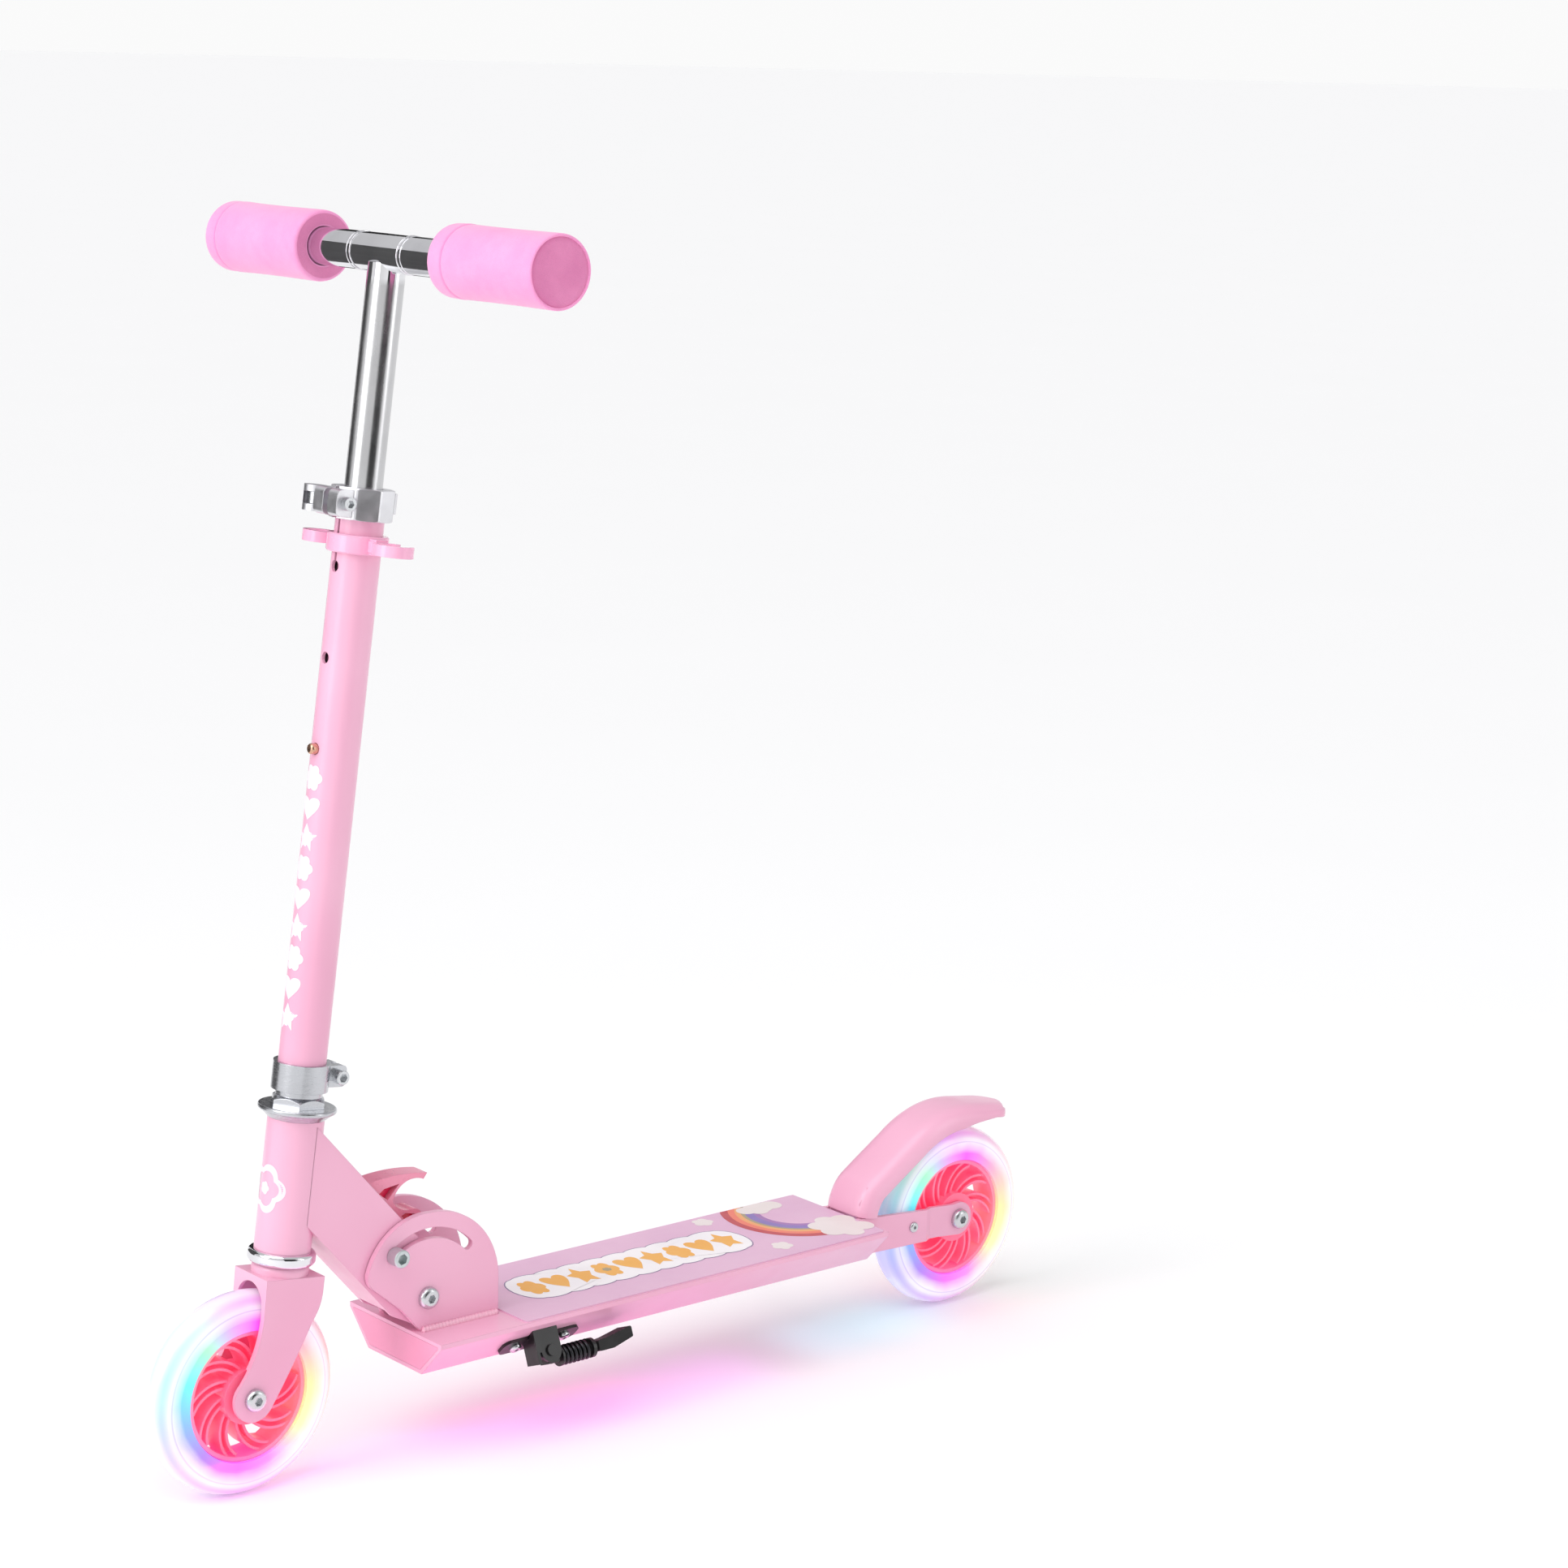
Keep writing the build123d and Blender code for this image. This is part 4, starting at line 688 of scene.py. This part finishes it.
# Rings at the seams of the cross tube, and ripples of the weld beads.
def hoop(name, side, along, radius, thick, body):
    """A thin ring round the handlebar, at a distance along it from the middle plane."""
    turns = [k * math.tau / 10 for k in range(11)]
    rows = [(along + thick * math.cos(a), radius + thick * math.sin(a)) for a in turns]
    return turned(name, rows, side, CHROME, body)


for word, side in SIDES:
    hoop("cross_tube_rim_" + word, side, 0.0235, 0.01110, 0.00045, "t_bar")
    hoop("bar_collar_" + word, side, 0.0268, 0.01105, 0.00035, "bar_half_" + word)


def weld_ripples(name, side):
    """A weld bead laid in small overlapping ripples along the foot of a cheek."""
    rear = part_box("fold_cheek_left")[0].x
    y = 0.0219
    z = DECK_TOP - 0.0003
    verts = []
    steps, around = 220, 14
    for k in range(steps + 1):
        x = rear + 0.001 + (PIVOT.x + 0.004 - rear) * k / steps
        end = min(1, k / 5, (steps - k) / 5)
        size = 0.00205 + 0.0004 * abs(math.sin(k * 0.33)) + 0.00015 * math.sin(k * 1.7)
        size *= math.sqrt(max(end, 0.02))
        for j in range(around):
            a = j * math.tau / around
            lean = 0.0006 * math.cos(a)
            verts.append((x + lean, side * (y + size * math.cos(a)), z + size * math.sin(a)))
    faces = tube_faces(steps + 1, around)
    faces += [tuple(range(around)), tuple(steps * around + j for j in range(around))]
    return piece(name, verts, faces, BEAD_PINK, "root")


for word, side in SIDES:
    weld_ripples("weld_ripples_" + word, side)


# Painted shade: thin deep red plates on the floors of the latch's recesses, standing in for the shade that
# falls there on the coral lever.
def in_neck(u, v, y):
    """A point u millimetres along the neck from the pivot and v millimetres square to it."""
    c, s = math.cos(NECK_ANGLE), math.sin(NECK_ANGLE)
    return Vector((PIVOT.x + (u * c - v * s) / 1000, y, PIVOT.z + (u * s + v * c) / 1000))


def recess_shade_plate(name, outline, side):
    """A thin plate on one face of the latch lever, painted deep red as the shade in a recess."""
    inside = [in_neck(u, v, side * 0.00252) for u, v in outline]
    out = [in_neck(u, v, side * 0.00275) for u, v in outline]
    faces = slab_faces(len(outline))
    return piece(name, inside + out, faces, LATCH_RECESS_SHADE, "latch", smooth=False)


UPPER_RECESS = ((67.3, 24.8), (66.8, 28.7), (60.7, 37.4), (59.7, 26.2))
LOWER_RECESS = ((43.8, 25.7), (42.8, 28.3), (36.5, 32.9), (32.7, 30.8), (32.2, 25.7))
for word, side in SIDES:
    recess_shade_plate("latch_recess_shade_upper_" + word, UPPER_RECESS, side)
    recess_shade_plate("latch_recess_shade_lower_" + word, LOWER_RECESS, side)


# The fender: a pressed strip with softly rolled edges and a rounded tail, on two ears.
def smooth_line(points, rounds):
    for _ in range(rounds):
        cut = [points[0]]
        for a, b in zip(points, points[1:]):
            cut += [a.lerp(b, 0.25), a.lerp(b, 0.75)]
        points = cut + [points[-1]]
    return points


def fender_spine():
    """Side view of the outer skin from its foot at the deck, over the tyre, to the tail."""
    r = 0.0800
    tail = 0.033
    fall = math.radians(9)
    line = [Vector((-0.1909, 0, 0.0815)), Vector((-0.1918, 0, 0.0880)), Vector((-0.1985, 0, 0.1010)),
            Vector((-0.2110, 0, 0.1095))]
    for k in range(15):
        a = math.radians(37 - 46 * k / 14)
        line.append(Vector((-AXLE_X + r * math.sin(a), 0, WHEEL_Z + r * math.cos(a))))
    arc_end = line[-1]
    for k in range(1, 10):
        line.append(arc_end + Vector((-math.cos(fall), 0, -math.sin(fall))) * (tail * k / 9))
    return smooth_line(line, 2)


# Half of the strip's cross section: out along the outer skin, round the rolled edge, back along the inner.
FENDER_SECTION = ((0.0, 0.0), (0.0080, 0.0), (0.0120, -0.0002), (0.0152, -0.0011), (0.0178, -0.0029),
                  (0.0196, -0.0055), (0.0204, -0.0090), (0.0206, -0.0134), (0.0200, -0.0141),
                  (0.0190, -0.0134), (0.0186, -0.0080), (0.0174, -0.0052), (0.0152, -0.0033),
                  (0.0120, -0.0022), (0.0080, -0.0019), (0.0, -0.0019))
TAIL_ROUND = 0.014


def fender_piece():
    spine = fender_spine()
    run = [0.0]
    for a, b in zip(spine, spine[1:]):
        run.append(run[-1] + (b - a).length)
    total = run[-1]
    section = list(FENDER_SECTION) + [(-y, h) for y, h in FENDER_SECTION[-2:0:-1]]
    verts = []
    for k, place in enumerate(spine):
        ahead = (spine[min(k + 1, len(spine) - 1)] - spine[max(k - 1, 0)]).normalized()
        out = Vector((ahead.z, 0, -ahead.x))
        left = total - run[k]
        wide = 1.0
        if left < TAIL_ROUND:
            wide = max(0.03, (1 - ((TAIL_ROUND - left) / TAIL_ROUND) ** 2.2) ** 0.5)
        deep = 0.56 + 0.44 * min(1.0, max(0.0, (left - 0.016) / 0.030))
        for y, h in section:
            flat = 1.0 if h > -0.0035 else deep
            verts.append(place + LEFT * (y * wide) + out * (h * flat))
    count = len(section)
    faces = tube_faces(len(spine), count)
    faces += [tuple(range(count)), tuple((len(spine) - 1) * count + j for j in range(count))]
    return piece("fender_pressing", verts, faces, PINK, "brake")


def ear_plate(name, side):
    """One of the fender's two side plates, round at the pin it turns on."""
    pin = Vector((-0.201, 0, 0.068))
    r = 0.0075
    turns = [math.radians(-180 + 10 * k) for k in range(17)]
    rim = [pin + Vector((r * math.cos(a), 0, r * math.sin(a))) for a in turns]
    rim += [Vector((-0.1922, 0, 0.0830)), Vector((-0.1935, 0, 0.0900)), Vector((-0.2000, 0, 0.1005)),
            Vector((-0.2070, 0, 0.1000)), Vector((-0.2085, 0, 0.0740))]
    verts = [p + LEFT * (side * 0.0127) for p in rim] + [p + LEFT * (side * 0.0145) for p in rim]
    return piece(name, verts, slab_faces(len(rim)), PINK, "brake", smooth=False)


pressing = fender_piece()
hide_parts("fender")
for word, side in SIDES:
    ear_plate("fender_ear_" + word, side)

# ---- smooth shading on the carried-over nodes ----------------------------------------------
SHARP_ANGLE = math.radians(32)
for node in NODES.values():
    node.data.shade_smooth()
    node.data.set_sharp_from_angle(angle=SHARP_ANGLE)

# ---- floor, light and camera ---------------------------------------------------------------
FLOOR_R = 60
FLOOR_SIDES = 64
floor_mesh = bpy.data.meshes.new("floor")
ring = [(x, y, 0) for x, y in polar(lambda a: FLOOR_R, FLOOR_SIDES)]
floor_mesh.from_pydata(ring, [], [tuple(range(FLOOR_SIDES))])
floor = bpy.data.objects.new("floor", floor_mesh)
bpy.context.scene.collection.objects.link(floor)
paper = Look("studio_paper", 0.9, Specular_IOR_Level=0.1)
paper.colour(paper.mix(paper.noise(3, 2), (0.955, 0.955, 0.955, 1), (0.965, 0.965, 0.965, 1)))
dress(floor, paper)

world = bpy.data.worlds.new("studio")
bpy.context.scene.world = world
world.use_nodes = True
tree = world.node_tree
coords = tree.nodes.new("ShaderNodeTexCoord")
split = tree.nodes.new("ShaderNodeSeparateXYZ")
tree.links.new(coords.outputs["Generated"], split.inputs[0])
ramp = tree.nodes.new("ShaderNodeValToRGB")
stops = ramp.color_ramp.elements
stops[0].position, stops[0].color = 0.06, (1.0, 1.0, 1.0, 1)
stops[1].position, stops[1].color = 0.20, (0.66, 0.66, 0.67, 1)
tree.links.new(split.outputs["Z"], ramp.inputs["Fac"])
tree.links.new(ramp.outputs["Color"], tree.nodes["Background"].inputs["Color"])
tree.nodes["Background"].inputs["Strength"].default_value = 0.96


def soft_sun(name, azimuth, elevation, strength, spread):
    """A wide, even light from one side of the studio. Azimuth is from +X towards +Y."""
    data = bpy.data.lights.new(name, "SUN")
    data.energy = strength
    data.angle = math.radians(spread)
    lamp = bpy.data.objects.new(name, data)
    a, e = math.radians(azimuth), math.radians(elevation)
    aim = Vector((math.cos(a) * math.cos(e), math.sin(a) * math.cos(e), math.sin(e)))
    lamp.rotation_euler = aim.to_track_quat("Z", "Y").to_euler()
    lamp.location = aim * 3
    bpy.context.scene.collection.objects.link(lamp)


def area_light(name, place, size, power, colour):
    """A rectangular light facing down, which the camera can't see."""
    data = bpy.data.lights.new(name, "AREA")
    data.shape = "RECTANGLE"
    data.size, data.size_y = size
    data.energy = power
    data.color = colour
    lamp = bpy.data.objects.new(name, data)
    lamp.location = place
    lamp.visible_camera = False
    bpy.context.scene.collection.objects.link(lamp)
    return lamp


def strip_light(name, azimuth, height, away, size, power):
    """A tall white light turned to the middle of the scooter. Azimuth is from +X towards +Y."""
    a = math.radians(azimuth)
    place = Vector((away * math.cos(a), away * math.sin(a), height))
    lamp = area_light(name, place, size, power, (1, 1, 1))
    lamp.rotation_euler = (Vector((0, 0, 0.4)) - place).to_track_quat("-Z", "Y").to_euler()


soft_sun("overhead", 20, 66, 0.95, 50)
soft_sun("from_front", -8, 30, 0.45, 30)
strip_light("strip_front", 0, 1.1, 1.7, (0.75, 1.6), 9)
strip_light("strip_rear_left", 128, 1.0, 2.2, (0.6, 1.5), 5)

# The wheels' lamps tint the floor between and beside the wheels. These face down from just above it.
GLOW_HEIGHT = 0.026
for name, x, y, size, colour, power in (
        ("glow_magenta", 0.195, 0.020, (0.40, 0.06), (1.0, 0.06, 0.62), 0.060),
        ("glow_wheel_foot", 0.215, 0.050, (0.13, 0.05), (1.0, 0.06, 0.70), 0.020),
        ("glow_violet", 0.020, 0.020, (0.24, 0.06), (0.80, 0.20, 1.0), 0.020),
        ("glow_cyan", -0.200, 0.010, (0.12, 0.06), (0.25, 0.85, 1.0), 0.010)):
    lamp = area_light(name, (x, y, GLOW_HEIGHT), size, power, colour)
    lamp.visible_glossy = False


def flag(name, azimuth, away, width, low, high, tone=0.02):
    """A dark or grey card that only metal and gloss can see, like a studio's black flags."""
    a = math.radians(azimuth)
    middle = Vector((away * math.cos(a), away * math.sin(a), 0))
    across = Vector((-math.sin(a), math.cos(a), 0)) * (width / 2)
    up = Vector((0, 0, 1))
    mesh = bpy.data.meshes.new(name)
    corners = [middle - across + up * low, middle + across + up * low,
               middle + across + up * high, middle - across + up * high]
    mesh.from_pydata([tuple(c) for c in corners], [], [(0, 1, 2, 3)])
    card = bpy.data.objects.new(name, mesh)
    bpy.context.scene.collection.objects.link(card)
    cloth = Look(name + "_cloth", 1.0, Specular_IOR_Level=0.0)
    paler = tone * 1.4
    cloth.colour(cloth.mix(cloth.noise(5, 2), (tone, tone, tone, 1), (paler, paler, paler, 1)))
    dress(card, cloth)
    card.visible_camera = False
    card.visible_diffuse = False
    card.visible_transmission = False
    card.visible_shadow = False
    card.visible_volume_scatter = False


flag("flag_near", 83, 1.9, 1.55, 0.02, 1.7, 0.03)
flag("flag_low", -58, 1.0, 0.9, 0.02, 1.05, 0.08)
flag("flag_back", -110, 1.9, 0.7, 0.02, 1.6)

# The camera stands where the photograph's did, and turns by these degrees.
CAMERA_AT = (1.411, 1.773, 0.868)
YAW, PITCH, ROLL = -130.29, -11.75, 1.43
camera_data = bpy.data.cameras.new("camera")
camera = bpy.data.objects.new("camera", camera_data)
bpy.context.scene.collection.objects.link(camera)
camera_data.lens = 85.34
camera_data.sensor_width = 36
camera_data.shift_x = 0.0277
camera_data.shift_y = 0.0020
camera_data.clip_end = 200
yaw, pitch, roll = (math.radians(v) for v in (YAW, PITCH, ROLL))
look_to = Vector((math.cos(yaw) * math.cos(pitch), math.sin(yaw) * math.cos(pitch), math.sin(pitch)))
right = Vector((math.sin(yaw), -math.cos(yaw), 0))
above = right.cross(look_to)
right_rolled = right * math.cos(roll) + above * math.sin(roll)
above_rolled = right_rolled.cross(look_to)
turn = Matrix((right_rolled, above_rolled, -look_to)).transposed()
camera.matrix_world = Matrix.Translation(CAMERA_AT) @ turn.to_4x4()
bpy.context.scene.camera = camera
bpy.context.scene.view_settings.view_transform = "Standard"
